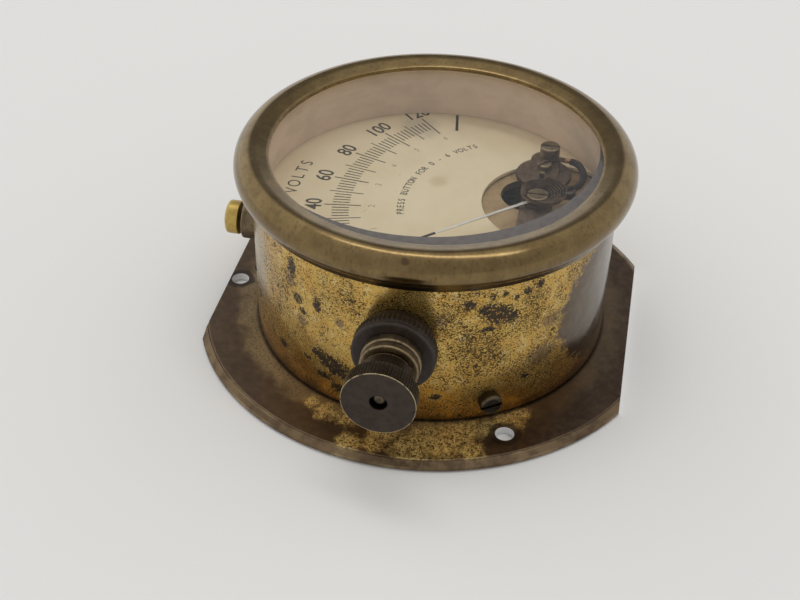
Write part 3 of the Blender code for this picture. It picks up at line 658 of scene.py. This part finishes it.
def make_dial_paper():
    """A varnished paper dial, foxed and smudged at the full-scale end."""
    s = Shader("dial_paper")
    color = s.mix(s.band(s.noise(0.06, 3.0, 0.6), 0.35, 0.7), (0.93, 0.775, 0.545),
                  (0.87, 0.70, 0.465))
    foxing = specks(s, 0.33, 0.66, 0.76, shift=11.0)
    color = s.mix(s.both(foxing, 0.45), color, (0.58, 0.36, 0.17))
    fleck = specks(s, 1.3, 0.74, 0.79, shift=4.0)
    color = s.mix(s.both(fleck, 0.5), color, (0.42, 0.30, 0.18))
    ragged = s.span(s.noise(0.3, 4.0, 0.6), -0.5, 0.5)
    x, y = polar(45.0, 46.5)
    smudge = s.blob((x, y, DIAL_TOP), 4.6, 1.0, ragged, 0.6)
    color = s.mix(s.both(smudge, 0.42), color, (0.36, 0.32, 0.26))
    stain = s.blob((8.5, 0.5, DIAL_TOP), 2.0, 1.0, ragged, 0.6)
    color = s.mix(s.both(stain, 0.4), color, (0.60, 0.40, 0.18))
    rim = s.band(s.from_axis(), DIAL_RADIUS - 2.5, DIAL_RADIUS)
    color = s.mix(s.both(rim, 0.3), color, (0.45, 0.33, 0.2))
    s.bump(s.noise(1.2, 5.0, 0.7), 0.02, 0.6)
    return s.end(color, 0.0, 0.62, Specular_IOR_Level=0.25)


def make_ink(name, color, fade=0.45):
    """Printing ink, rubbed so that the paper shows through it."""
    s = Shader(name)
    thin = s.band(s.noise(2.1, 3.0, 0.6), 0.44, 0.7)
    shade = s.mix(s.both(thin, fade), color, (0.42, 0.33, 0.21))
    return s.end(shade, 0.0, 0.7)


def make_card(name, base, other, scale=0.5):
    """Card or varnished paper, with a faint fibre."""
    s = Shader(name)
    color = s.mix(s.band(s.noise(scale, 4.0, 0.62, (1, 1, 2)), 0.38, 0.68), base, other)
    color = s.mix(s.both(specks(s, 1.2, 0.7, 0.76, shift=3.0), 0.4), color, (0.08, 0.06, 0.05))
    s.bump(s.noise(3.0, 4.0, 0.7, (1, 1, 3)), 0.02, 0.7)
    return s.end(color, 0.0, 0.66, Specular_IOR_Level=0.3)


def make_glass():
    """Clear glass that bends what is seen and lets lamp light straight through."""
    s = Shader("window_glass")
    smear = s.band(s.noise(0.10, 4.0, 0.6), 0.45, 0.8)
    s.end((1.0, 1.0, 1.0), 0.0, 0.0, Transmission_Weight=1.0, IOR=1.5)
    s.put(s.surface.inputs["Roughness"], s.both(smear, 0.03))
    nodes = s.tree.nodes
    rays = nodes.new("ShaderNodeLightPath")
    clear = nodes.new("ShaderNodeBsdfTransparent")
    clear.inputs["Color"].default_value = (0.93, 0.95, 0.94, 1.0)
    blend = nodes.new("ShaderNodeMixShader")
    soft = s.maths("MAXIMUM", rays.outputs["Is Shadow Ray"], rays.outputs["Is Diffuse Ray"])
    s.put(blend.inputs["Fac"], soft)
    s.put(blend.inputs[1], s.surface.outputs["BSDF"])
    s.put(blend.inputs[2], clear.outputs["BSDF"])
    s.put(nodes["Material Output"].inputs["Surface"], blend.outputs["Shader"])
    return s.material


def make_button_horn():
    """The button, yellow where fingers have kept it clean, mottled and specked darker."""
    s = Shader("button_brass")
    color = s.mix(s.band(s.noise(0.5, 3.0, 0.6), 0.4, 0.7), (0.58, 0.42, 0.11), (0.46, 0.31, 0.08))
    color = s.mix(s.both(specks(s, 1.5, 0.62, 0.7, shift=2.0), 0.5), color, (0.17, 0.10, 0.03))
    s.bump(s.noise(2.0, 3.0, 0.6), 0.015, 0.7)
    return s.end(color, 0.55, 0.36)


MATERIALS = {
    "drum": make_drum_brass(),
    "bezel": make_bezel_brass(),
    "flange": make_flange_brass(),
    "ebonite": make_ebonite(),
    "paper": make_dial_paper(),
    "ink": make_ink("dial_ink", (0.035, 0.028, 0.022)),
    "red_ink": make_ink("dial_red_ink", (0.50, 0.22, 0.13), 0.9),
    "sleeve": make_card("sleeve_card", (0.80, 0.62, 0.48), (0.70, 0.54, 0.41), 0.12),
    "packing": make_card("packing_card", (0.170, 0.145, 0.140), (0.130, 0.110, 0.105)),
    "glass": make_glass(),
    "button": make_button_horn(),
    "nut_brass": make_aged_metal("nut_brass", (0.215, 0.162, 0.10), (0.11, 0.08, 0.05),
                                 (0.42, 0.33, 0.19), 0.8, (0.38, 0.52), edge=0.45),
    "thumb_brass": make_aged_metal("thumb_brass", (0.062, 0.049, 0.041), (0.048, 0.037, 0.031),
                                   (0.52, 0.42, 0.25), 0.2, (0.3, 0.4)),
    "movement": make_aged_metal("movement_brass", (0.205, 0.148, 0.105), (0.125, 0.086, 0.062),
                                (0.34, 0.25, 0.14), 0.5, (0.38, 0.5), edge=0.4),
    "chassis": make_aged_metal("chassis_brass", (0.50, 0.37, 0.215), (0.38, 0.27, 0.155),
                               (0.45, 0.34, 0.2), 0.3, (0.45, 0.6), 0.5),
    "screw": make_aged_metal("screw_steel", (0.060, 0.049, 0.036), (0.03, 0.023, 0.017),
                             (0.24, 0.19, 0.12), 0.5, (0.34, 0.46), edge=0.45),
    "screw_brass": make_aged_metal("screw_brass", (0.24, 0.185, 0.115), (0.14, 0.10, 0.06),
                                   (0.42, 0.34, 0.21), 0.4, (0.36, 0.5), edge=0.35),
    "steel": make_aged_metal("dark_steel", (0.07, 0.063, 0.06), (0.04, 0.035, 0.032),
                             (0.2, 0.18, 0.16), 0.4, (0.35, 0.5)),
    "silver": make_aged_metal("pointer_alloy", (0.88, 0.85, 0.79), (0.78, 0.74, 0.68),
                              (0.95, 0.92, 0.87), 0.1, (0.3, 0.42), metallic=0.5),
    "black": make_aged_metal("pointer_black", (0.012, 0.011, 0.011), (0.02, 0.018, 0.016),
                             (0.03, 0.03, 0.03), 0.2, (0.45, 0.6), 1.0, 0.0),
    "bronze": make_aged_metal("spring_bronze", (0.26, 0.18, 0.13), (0.15, 0.10, 0.07),
                              (0.34, 0.24, 0.17), 0.3, (0.3, 0.42)),
    "iron": make_aged_metal("soft_iron", (0.20, 0.185, 0.17), (0.13, 0.11, 0.09),
                            (0.34, 0.32, 0.3), 0.5, (0.38, 0.55)),
    "copper": make_aged_metal("coil_wire", (0.38, 0.15, 0.06), (0.24, 0.085, 0.035),
                              (0.6, 0.3, 0.15), 0.3),
    "silk": make_card("silk_wire", (0.07, 0.16, 0.075), (0.045, 0.11, 0.05), 2.0),
    "wire": make_card("wire_sleeve", (0.032, 0.027, 0.027), (0.018, 0.016, 0.016), 1.5),
}


# ---------------------------------------------------------------------------
# The case


def make_flange():
    rim = FLANGE_RADIUS
    shoulder = rim - FLANGE_RIM_WIDTH
    outline = [(0, 0.05), (rim - 0.45, 0.0, 0.2), (rim, 0.35, 0.3), (rim, 0.85, 0.35)]
    outline += [(shoulder + 0.2, FLANGE_TOP - 0.08, 0.3), (shoulder, FLANGE_TOP - 0.22, 0.1)]
    outline += [(shoulder - 0.3, FLANGE_TOP, 0.12), (SPIGOT_RADIUS, FLANGE_TOP)]
    outline += [(SPIGOT_RADIUS, 9.5), (38.9, 9.5), (38.9, FLANGE_TOP), (0, FLANGE_TOP)]
    flange = lathe("flange_and_spigot", outline, "flange", "case", ["base_plate"],
                   segments=240)
    cutters = [cutter_box((-70, FLAT_TOP_Y, -5), (70, 70, 5))]
    cutters.append(cutter_box((-70, -70, -5), (70, FLAT_BOTTOM_Y, 5)))
    for angle in MOUNT_ANGLES:
        x, y = polar(MOUNT_CIRCLE, angle, (0, 0))
        cutters.append(cutter_rod(MOUNT_HOLE, -5, 5, upright(x, y)))
    cut(flange, *cutters)


def make_drum():
    bottom = FLANGE_TOP + 0.25
    inner = DRUM_RADIUS - DRUM_WALL
    outline = [(inner, bottom), (DRUM_RADIUS, bottom, 0.15), (DRUM_RADIUS, 14), (DRUM_RADIUS, 26)]
    outline += [(DRUM_RADIUS, DRUM_TOP), (inner, DRUM_TOP)]
    drum = lathe("drum_tube", outline, "drum", "case", ["case_drum"], segments=240)


def make_bezel():
    inner_roll = ROLL_RADIUS - 0.9
    outline = [(41.45, 38.3, 0.1), (42.6, 38.3, 0.3), (43.3, 39.9, 0.5)]
    outline += arc(ROLL_CENTRE, ROLL_RADIUS, -46, 88, 30)
    outline += [(39.6, LIP_TOP + 0.75), (LIP_RADIUS + 0.55, LIP_TOP + 0.12, 0.4)]
    outline += [(LIP_RADIUS, LIP_TOP - 0.1, 0.25), (LIP_RADIUS, GLASS_TOP + 0.05)]
    outline += [(41.2, GLASS_TOP + 0.05)] + arc(ROLL_CENTRE, inner_roll, 35, -46, 8)
    bezel = lathe("bezel_roll", outline, "bezel", "case", ["bezel"], segments=240)


def make_window():
    outline = [(0, GLASS_BOTTOM), (GLASS_RADIUS, GLASS_BOTTOM, 0.2)]
    outline += [(GLASS_RADIUS, GLASS_TOP, 0.2), (0, GLASS_TOP)]
    glass = lathe("window_pane", outline, "glass", "case", ["glass"], segments=160)
    top = GLASS_BOTTOM - GAP
    outline = [(SLEEVE_INNER, DIAL_TOP + 0.1), (SLEEVE_OUTER, DIAL_TOP + 0.1)]
    outline += [(SLEEVE_OUTER, top), (SLEEVE_INNER, top, 0.1)]
    sleeve = lathe("sleeve_wall", outline, "sleeve", "case", ["spacer_sleeve"],
                   segments=200)
    centre = PACKING_HOLE_CENTRE
    away = degrees(atan2(centre[1], centre[0])) + 180
    half = 94.5
    rim = arc((0, 0), PACKING_RADIUS, away - half, away + half, 90)
    ends = [Vector(rim[-1]) - Vector(centre), Vector(rim[0]) - Vector(centre)]
    start, end = (degrees(atan2(v.y, v.x)) % 360 for v in ends)
    if start < end:
        start += 360
    inner = arc(centre, PACKING_HOLE_RADIUS, start, end, 90)
    packing = plate("packing_crescent", rim + inner[1:-1], top - 0.8, top - 0.05,
                    "packing", "case", ["glass_packing"])


def make_case_screws():
    for number, (angle, slot_turn) in enumerate(zip(SCREW_ANGLES, SCREW_TURNS), 1):
        place = outward(angle, SCREW_HEIGHT)
        outline = [(0, 39.0), (1.2, 39.0), (1.2, 41.3), (2.5, 41.3), (2.5, 43.5, 0.5), (0, 43.5)]
        screw = lathe(f"cheese_head_{number}", outline, "screw", "case",
                      [f"case_screw_{number}"], place, 64)
        tilt = Matrix.Rotation(radians(slot_turn), 4, "Z")
        cut(screw, cutter_box((-0.33, -3, 42.75), (0.33, 3, 45), place @ tilt))


def make_dial():
    outline = [(0, DIAL_TOP - 0.8), (DIAL_RADIUS, DIAL_TOP - 0.8), (DIAL_RADIUS, DIAL_TOP, 0.1)]
    outline.append((0, DIAL_TOP))
    dial = lathe("dial_card", outline, "paper", "case", ["dial_plate"], segments=200)
    cutters = [cutter_rod(WINDOW_RADIUS, 20, 40, upright(*WINDOW_CENTRE), 160)]
    cutters.append(cutter_rod(4.4, 20, 40, upright(FEET["left"], PIVOT[1])))
    cut(dial, *cutters)
    for name, angle in STOP_ANGLES.items():
        bottom = CHASSIS_TOP + GAP
        outline = [(0, bottom), (STOP_RADIUS, bottom)]
        outline += [(STOP_RADIUS, STOP_TOP, 0.15), (0, STOP_TOP)]
        pin = lathe(f"{name}_rod", outline, "steel", "case", [name],
                    upright(*polar(STOP_CIRCLE, angle)), 24)


def scale_angle(volts):
    return ZERO_ANGLE - DEGREES_PER_VOLT * volts


def tick(angle, start, end, width):
    """The corners of one radial mark."""
    along = Vector((cos(radians(angle)), sin(radians(angle))))
    across = Vector((-along.y, along.x)) * width / 2
    pivot = Vector(PIVOT)
    ends = (pivot + along * start, pivot + along * end)
    return [ends[0] - across, ends[1] - across, ends[1] + across, ends[0] + across]


def make_scale():
    marks = []
    for volts in range(0, FULL_SCALE + 1, 2):
        kind = "major" if volts % 20 == 0 else "middle" if volts % 10 == 0 else "minor"
        marks.append(tick(scale_angle(volts), *TICKS[kind]))
    strip_mesh("scale_marks", marks, INK_TOP, "ink", "case")


def print_word(name, word, radius, angle, size, ink, narrow=1.0, thick=0.0):
    """Prints a word or number on the dial, its top away from the pivot."""
    curve = bpy.data.curves.new(name, "FONT")
    curve.body = word
    curve.size = size * MM
    curve.align_x = "CENTER"
    curve.align_y = "CENTER"
    curve.offset = thick * MM
    curve.materials.append(MATERIALS[ink])
    item = bpy.data.objects.new(name, curve)
    bpy.context.scene.collection.objects.link(item)
    x, y = polar(radius, angle)
    turn = Matrix.Rotation(radians(angle - 90), 4, "Z")
    item.matrix_world = upright(x, y, INK_TOP) @ turn @ Matrix.Diagonal((narrow, 1, 1, 1))
    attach(item, "case")


def make_lettering():
    for volts in range(0, FULL_SCALE + 1, 20):
        angle = scale_angle(volts)
        print_word(f"number_{volts}", str(volts), NUMBER_RADIUS, angle, 5.2, "ink", 0.86, 0.08)
    for number in range(0, 7):
        angle = scale_angle(number * FULL_SCALE / 6)
        name = f"low_number_{number}"
        print_word(name, str(number), LOW_NUMBER_RADIUS, angle, 2.2, "red_ink", 0.8)
    for letter, angle in zip(UNIT, UNIT_ANGLES):
        print_word(f"unit_{letter}", letter, UNIT_RADIUS, angle, 4.3, "ink", 0.85)
    for index, letter in enumerate(HINT):
        if letter != " ":
            angle = HINT_START - HINT_STEP * index
            print_word(f"hint_{index}", letter, HINT_RADIUS, angle, 2.3, "ink", 0.8, 0.03)


# ---------------------------------------------------------------------------
# The movement


def make_chassis():
    outline = [(0, CHASSIS_BOTTOM), (CHASSIS_RADIUS, CHASSIS_BOTTOM)]
    outline += [(CHASSIS_RADIUS, CHASSIS_TOP, 0.1), (0, CHASSIS_TOP)]
    chassis = lathe("chassis_disc", outline, "chassis", "case", ["chassis_plate"],
                    segments=120)
    cutters = [cutter_rod(CHASSIS_HOLE_RADIUS, 20, 40, upright(*CHASSIS_HOLE))]
    cutters.append(cutter_rod(3.5, 20, 40, upright(*PIVOT)))
    cut(chassis, *cutters)


def make_bridge():
    left, right = BRIDGE_ENDS
    half = BRIDGE_HALF_WIDTH
    outline = arc((right, PIVOT[1]), half, -90, 90, 20) + arc((left, PIVOT[1]), half, 90, 270, 20)
    bridge = plate("bridge_bar", outline, BRIDGE_BOTTOM, BRIDGE_TOP, "movement",
                   "case", ["upper_bridge"], bevel=0.15)
    holes = [(PIVOT[0], PIVOT[1], 0.9), (*LEAD_SCREW, 1.35)]
    holes += [(x, PIVOT[1], 1.6) for x in FEET.values()]
    cut(bridge, *[cutter_rod(radius, 20, 40, upright(x, y), 32) for x, y, radius in holes])
    flange = DIAL_TOP + GAP
    top = BRIDGE_BOTTOM - GAP
    for side, x in FEET.items():
        place = upright(x, PIVOT[1])
        outline = [(0, CHASSIS_TOP + GAP), (3.9, CHASSIS_TOP + GAP), (3.9, flange)]
        outline += [(FOOT_RADIUS - 0.3, flange, 0.1), (FOOT_RADIUS, flange + 0.12, 0, 0.45)]
        outline += [(FOOT_RADIUS, top - 0.12, 0, 0.45), (FOOT_RADIUS - 0.3, top, 0.1), (0, top)]
        foot = lathe(f"knurled_foot_{side}", outline, "movement", "case",
                     [f"bridge_pillar_{side}"], place, teeth=36)
        radius, head_top, slot_turn = FOOT_SCREWS[side]
        start = BRIDGE_TOP + 0.05
        outline = [(0, 31.0), (1.2, 31.0), (1.2, start), (radius, start, 0.1)]
        outline += [(radius, head_top, 0.3), (0, head_top)]
        make_slotted(f"slotted_screw_{side}", outline, place, slot_turn, [f"bridge_screw_{side}"])


def make_slotted(name, outline, place, slot_turn, nodes):
    """A cheese-head screw of the movement, whose outline ends at the top of its head."""
    screw = lathe(name, outline, "screw_brass", "case", nodes, place, 64)
    top = outline[-1][1]
    turn = Matrix.Rotation(radians(slot_turn), 4, "Z")
    cut(screw, cutter_box((-3, -0.3, top - 0.65), (3, 0.3, top + 1), place @ turn))


def make_lead_screw():
    """The screw on the bridge's right end, the bronze tag under it and the tag's ferrule."""
    place = upright(*LEAD_SCREW)
    bottom = BRIDGE_TOP + GAP
    outline = [(0, 32.5), (1.0, 32.5), (1.0, bottom + 0.45), (2.3, bottom + 0.45, 0.1)]
    outline += [(2.3, LEAD_SCREW_TOP, 0.3), (0, LEAD_SCREW_TOP)]
    make_slotted("lead_screw_head", outline, place, 92, ["lead_screw"])
    outline = arc((0, 0), 2.2, -68, 248, 30) + [(-0.8, -4.6), (0.8, -4.6)]
    aside = place @ Matrix.Rotation(radians(-14), 4, "Z")
    tag = plate("lead_tag", outline, bottom, bottom + 0.4, "bronze", "case", (), aside, 0.08)
    outline = [(0, 0), (0.5, 0, 0.2), (0.65, 1.5, 0.3), (0, 1.5)]
    end = aside @ upright(0, -4.0, bottom + 0.3) @ Matrix.Rotation(pi / 2, 4, "X")
    ferrule = lathe("lead_ferrule", outline, "copper", "case", (), end, 24)


def make_hairspring(name, node, bottom, top, inner, outer, turns, pull=(0.0, 0.0)):
    """A flat bronze strip wound in a spiral about the coil's axis. Its outer end is pulled to
    one side, so that the coils crowd together on the other."""
    maker = bmesh.new()
    steps = 48
    total = turns * steps
    rings = []
    for step in range(total + 1):
        turn = 2 * pi * step / steps
        grown = step / total
        radius = inner + (outer - inner) * grown
        centre = (PIVOT[0] + pull[0] * grown, PIVOT[1] + pull[1] * grown)
        ring = []
        for reach, height in ((0, bottom), (0.16, bottom), (0.16, top), (0, top)):
            x = centre[0] + (radius + reach) * cos(turn)
            y = centre[1] + (radius + reach) * sin(turn)
            ring.append(maker.verts.new(Vector((x, y, height)) * MM))
        rings.append(ring)
    sweep(maker, rings)
    spring = finish_object(name, maker, "bronze", "case", [node])


def make_zero_lever():
    bottom = BRIDGE_TOP + 0.15
    place = upright(*PIVOT)
    outline = arc((0, 0), 3.3, 16, 344, 40)
    outline += [(8.2, -0.9), (11.2, -0.9), (11.5, -0.6), (11.5, 0.6), (11.2, 0.9), (8.2, 0.9)]
    lever = plate("regulator_lever", outline, bottom, bottom + 0.4, "movement",
                  "zero_lever", ["zero_lever"], place)
    cut(lever, cutter_rod(1.4, 20, 40, place, 40))
    corners = [(8.5, -0.6), (9.4, -0.6), (9.4, 0.6), (8.5, 0.6)]
    stud = plate("regulator_stud", corners, bottom + 0.1, 35.8, "screw_brass",
                 "zero_lever", (), place, 0.1)


def make_pointer():
    place = upright(*PIVOT) @ Matrix.Rotation(radians(POINTER_REST), 4, "Z")
    bottom = POINTER_HEIGHT
    top = POINTER_HEIGHT + 0.3
    bright_end = 27.0
    width = 0.42
    outline = [(1.2, -width), (bright_end, -0.26), (bright_end, 0.26), (1.2, width)]
    blade = plate("pointer_blade", outline, bottom, top, "silver", "coil_assembly",
                  ["pointer"], place, 0.08)
    outline = [(bright_end, -0.26), (POINTER_LENGTH, -0.13), (POINTER_LENGTH, 0.13)]
    outline.append((bright_end, 0.26))
    tip = plate("pointer_tip", outline, bottom, top, "black", "coil_assembly",
                (), place, 0.05)
    outline = [(-10.7, -0.4), (-1.2, -0.4), (-1.2, 0.4), (-10.7, 0.4)]
    tail = plate("pointer_tail", outline, bottom, top, "steel", "coil_assembly",
                 (), place, 0.08)
    outline = [(0.8, bottom - 0.1), (1.7, bottom - 0.1, 0.05), (1.7, top + 0.1, 0.1)]
    outline.append((0.8, top + 0.1))
    hub = lathe("pointer_hub", outline, "steel", "coil_assembly", (),
                upright(*PIVOT), 48)
    outline = [(0, bottom - 2.2), (1.7, bottom - 2.2, 0.3), (1.7, bottom - 0.15, 0.3)]
    outline.append((0, bottom - 0.15))
    weight = lathe("pointer_weight", outline, "steel", "coil_assembly",
                   ["counterweight"], place @ upright(-8.7), 40)
    outline = [(1.0, bottom + 0.6), (2.4, bottom + 0.6, 0.1)]
    outline += [(2.4, COLLET_TOP, 0.22), (0, COLLET_TOP)]
    outline += [(0, COLLET_TOP - 0.4), (1.0, COLLET_TOP - 0.4)]
    collet = lathe("slotted_collet", outline, "screw_brass", "coil_assembly",
                   ["collet"], upright(*PIVOT), 64)
    cut(collet, cutter_box((-0.25, -4, COLLET_TOP - 0.27), (0.25, 4, 38), upright(*PIVOT)))


def make_lead_wire():
    curve = bpy.data.curves.new("lead_wire_sleeve", "CURVE")
    curve.dimensions = "3D"
    curve.bevel_depth = LEAD_RADIUS * MM
    curve.bevel_resolution = 6
    curve.resolution_u = 16
    curve.use_fill_caps = True
    curve.materials.append(MATERIALS["wire"])
    spline = curve.splines.new("BEZIER")
    spline.bezier_points.add(len(LEAD_ROUTE) - 1)
    for point, place in zip(spline.bezier_points, LEAD_ROUTE):
        point.co = Vector(place) * MM
        point.handle_left_type = "AUTO"
        point.handle_right_type = "AUTO"
    item = bpy.data.objects.new("lead_wire_sleeve", curve)
    bpy.context.scene.collection.objects.link(item)
    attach(item, "case")
    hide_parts("lead_wire")


# ---------------------------------------------------------------------------
# Terminals and button


def make_terminal(side, angle):
    place = outward(angle, TERMINAL_HEIGHT)
    outline = [(0, 34.2), (1.5, 34.2), (1.5, 60.3, 0.8), (0, 60.3)]
    stud = lathe(f"stud_{side}", outline, "screw", "case",
                 [f"terminal_stud_{side}"], place, 48)
    bore = TERMINAL_BORE
    outline = [(bore, 39.6), (4.0, 39.6), (4.0, 41.4), (8.0, 41.4, 0.1), (8.0, 43.3)]
    outline += [(8.75, 43.4, 0.1), (9.0, 43.7, 0, 0.22), (9.0, 45.4, 0, 0.22), (8.7, 45.7, 0.1)]
    outline += [(8.55, 45.9, 0.1), (8.9, 46.1, 0.15), (8.9, 46.8, 0.25), (8.4, 47.0, 0.1)]
    outline.append((bore, 47.0))
    insulator = lathe(f"insulator_{side}", outline, "ebonite", "case",
                      [f"terminal_insulator_{side}"], place, teeth=56)
    outline = [(bore, 47.1), (6.3, 47.1), (6.45, 47.3, 0.1), (6.45, 49.2, 0.4), (bore, 49.2)]
    nut = lathe(f"clamp_nut_{side}", outline, "nut_brass", "case",
                [f"terminal_clamp_nut_{side}"], place, 96)
    outline = [(bore, 49.5), (6.3, 49.5, 0.2), (6.3, 51.2, 0.35), (bore, 51.2)]
    washer = lathe(f"washer_ring_{side}", outline, "nut_brass", f"washer_{side}",
                   [f"loose_washer_{side}"], place, 96)
    head = THUMB_RADIUS
    outline = [(bore, 51.5), (4.9, 51.5, 0.3), (5.35, 52.2, 0.4), (5.35, 56.4, 0.3)]
    outline += [(5.9, 56.7), (7.0, 56.9), (head - 0.25, 57.2), (head - 0.07, 57.4, 0, 0.2)]
    outline += [(head, 57.7, 0, 0.34), (head, 61.12, 0, 0.26), (head - 0.01, 61.22)]
    outline += [(head - 0.02, 61.4, 0.08), (head - 0.2, 61.4), (2.0, 61.4), (bore, 61.2)]
    thumb = lathe(f"thumb_knob_{side}", outline, "thumb_brass", f"nut_{side}",
                  [f"thumb_nut_{side}"], place, teeth=68)


def make_button():
    place = outward(BUTTON_ANGLE, BUTTON_HEIGHT)
    outline = [(1.3, 38.0), (3.0, 38.0), (3.0, 41.5), (4.7, 41.5, 0.1), (4.7, 45.2, 0.3)]
    outline += [(4.3, 45.2, 0.1), (4.3, 42.5), (1.3, 42.5)]
    guide = lathe("button_cup", outline, "nut_brass", "case", ["button_guide"], place, 96)
    outline = [(0, 46.3), (4.0, 46.3, 0.15), (4.0, 49.2, 0.7), (2.6, 49.7, 0.6), (0, 49.8)]
    cap = lathe("button_head", outline, "button", "push_button", ["button_cap"], place, 96)


def make_button_spring():
    """The return spring round the plunger, made at one length; the real one shortens as the button
    goes in.
    """
    place = outward(BUTTON_ANGLE, BUTTON_HEIGHT)
    coil, wire, bottom, top, turns = 2.5, 0.25, 42.85, 45.75, 4
    steps = 40
    sides = 12
    maker = bmesh.new()
    rings = []
    for step in range(turns * steps + 1):
        turn = 2 * pi * step / steps
        height = bottom + wire + (top - bottom - 2 * wire) * step / (turns * steps)
        ring = []
        for side in range(sides):
            tilt = 2 * pi * side / sides
            reach = coil + wire * cos(tilt)
            point = (reach * cos(turn), reach * sin(turn), height + wire * sin(tilt))
            ring.append(maker.verts.new(Vector(point) * MM))
        rings.append(ring)
    sweep(maker, rings)
    maker.transform(place)
    spring = finish_object("return_spring", maker, "steel", "case", ["button_spring"])
    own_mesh(spring)


def dress_inner_nodes():
    """CAD pieces that keep their own meshes, and the materials they get."""
    dressing = {
        "iron": ["pole_piece_left", "pole_piece_right", "iron_core"],
        "steel": ["magnet", "upper_arbor", "lower_arbor"],
        "movement": ["chassis_pillar_1", "chassis_pillar_2", "chassis_pillar_3", "core_bracket",
                     "lower_bridge", "lower_jewel_screw", "button_plunger", "contact_blade"],
        "ebonite": ["resistor_bobbin", "contact_block"],
        "silk": ["resistor_winding"],
        "copper": ["coil_winding"],
        "silver": ["coil_former"],
        "nut_brass": ["terminal_inner_nut_left", "terminal_inner_nut_right"],
        "bronze": ["lower_hairspring"],
    }
    for material, names in dressing.items():
        for name in names:
            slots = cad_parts[name].material_slots
            slots[0].material = MATERIALS[material]


# ---------------------------------------------------------------------------
# Stage, light and camera


def make_stage():
    maker = bmesh.new()
    bmesh.ops.create_circle(maker, cap_ends=True, segments=96, radius=FLOOR_RADIUS)
    floor = finish_object("floor", maker, None, None)
    s = Shader("studio_floor")
    tone = s.span(s.noise(0.004, 2.0, 0.5), 0.97, 1.0)
    color = s.mix(tone, (0.0, 0.0, 0.0), (0.90, 0.90, 0.895))
    floor.data.materials.clear()
    floor.data.materials.append(s.end(color, 0.0, 0.75, Specular_IOR_Level=0.2))
    floor.location.z = -0.0001


def make_world():
    """A soft room: bright low down and behind the object, dimmer overhead and in front."""
    world = bpy.data.worlds.new("studio")
    world.use_nodes = True
    tree = world.node_tree
    nodes = tree.nodes
    links = tree.links
    where = nodes.new("ShaderNodeTexCoord")
    split = nodes.new("ShaderNodeSeparateXYZ")
    links.new(where.outputs["Generated"], split.inputs[0])

    def ramp(source, low, high, start, end):
        node = nodes.new("ShaderNodeMapRange")
        node.interpolation_type = "SMOOTHSTEP"
        links.new(source, node.inputs["Value"])
        limits = {"From Min": low, "From Max": high, "To Min": start, "To Max": end}
        for name, value in limits.items():
            node.inputs[name].default_value = value
        return node.outputs["Result"]

    def times(a, b):
        node = nodes.new("ShaderNodeMath")
        node.operation = "MULTIPLY"
        links.new(a, node.inputs[0])
        links.new(b, node.inputs[1])
        return node.outputs[0]

    height = ramp(split.outputs["Z"], 0.1, 0.95, 0.95, 0.88)
    depth = ramp(split.outputs["X"], -0.8, 0.6, 0.70, 1.0)
    side = ramp(split.outputs["Y"], -0.8, 0.8, 0.80, 1.05)
    # The glass mirrors this dim part of the room to the camera.
    toward = nodes.new("ShaderNodeVectorMath")
    toward.operation = "DOT_PRODUCT"
    links.new(where.outputs["Generated"], toward.inputs[0])
    toward.inputs[1].default_value = (0.799, 0.127, 0.588)
    dim = ramp(toward.outputs["Value"], 0.91, 0.98, 1.0, 0.30)
    background = nodes["Background"]
    background.inputs["Color"].default_value = (1.0, 0.99, 0.975, 1.0)
    links.new(times(times(times(height, depth), side), dim), background.inputs["Strength"])
    bpy.context.scene.world = world


def facing(place, target):
    """The turn that points a lamp's or camera's -Z from a place to a target."""
    return (Vector(target) - Vector(place)).to_track_quat("-Z", "Y")


def make_light():
    lamp = bpy.data.lights.new("overhead_panel", "AREA")
    lamp.shape = "RECTANGLE"
    lamp.size, lamp.size_y = LAMP_SIZE
    lamp.energy = LAMP_POWER
    lamp.color = (1.0, 0.98, 0.95)
    item = bpy.data.objects.new("overhead_panel", lamp)
    bpy.context.scene.collection.objects.link(item)
    item.location = LAMP_PLACE
    item.rotation_euler = facing(LAMP_PLACE, LAMP_TARGET).to_euler()


def make_camera():
    lens = bpy.data.cameras.new("photo_camera")
    lens.lens = CAMERA_LENS
    lens.sensor_width = CAMERA_SENSOR
    lens.clip_start = 0.01
    camera = bpy.data.objects.new("photo_camera", lens)
    bpy.context.scene.collection.objects.link(camera)
    turn = facing(CAMERA_PLACE, CAMERA_TARGET).to_matrix().to_4x4()
    roll = Matrix.Rotation(CAMERA_ROLL, 4, "Z")
    camera.matrix_world = Matrix.Translation(CAMERA_PLACE) @ turn @ roll
    bpy.context.scene.camera = camera


make_flange()
make_drum()
make_bezel()
make_window()
make_case_screws()
make_dial()
make_scale()
make_lettering()
make_chassis()
make_bridge()
make_lead_screw()
make_hairspring("upper_spiral", "upper_hairspring", 34.8, 35.5, 2.7, 5.2, 6, (2.1, -1.2))
make_zero_lever()
make_pointer()
make_lead_wire()
for terminal_side, terminal_angle in TERMINAL_ANGLES.items():
    make_terminal(terminal_side, terminal_angle)
make_button()
make_button_spring()
dress_inner_nodes()
make_stage()
make_world()
make_light()
make_camera()
bpy.context.scene.view_settings.view_transform = "Standard"
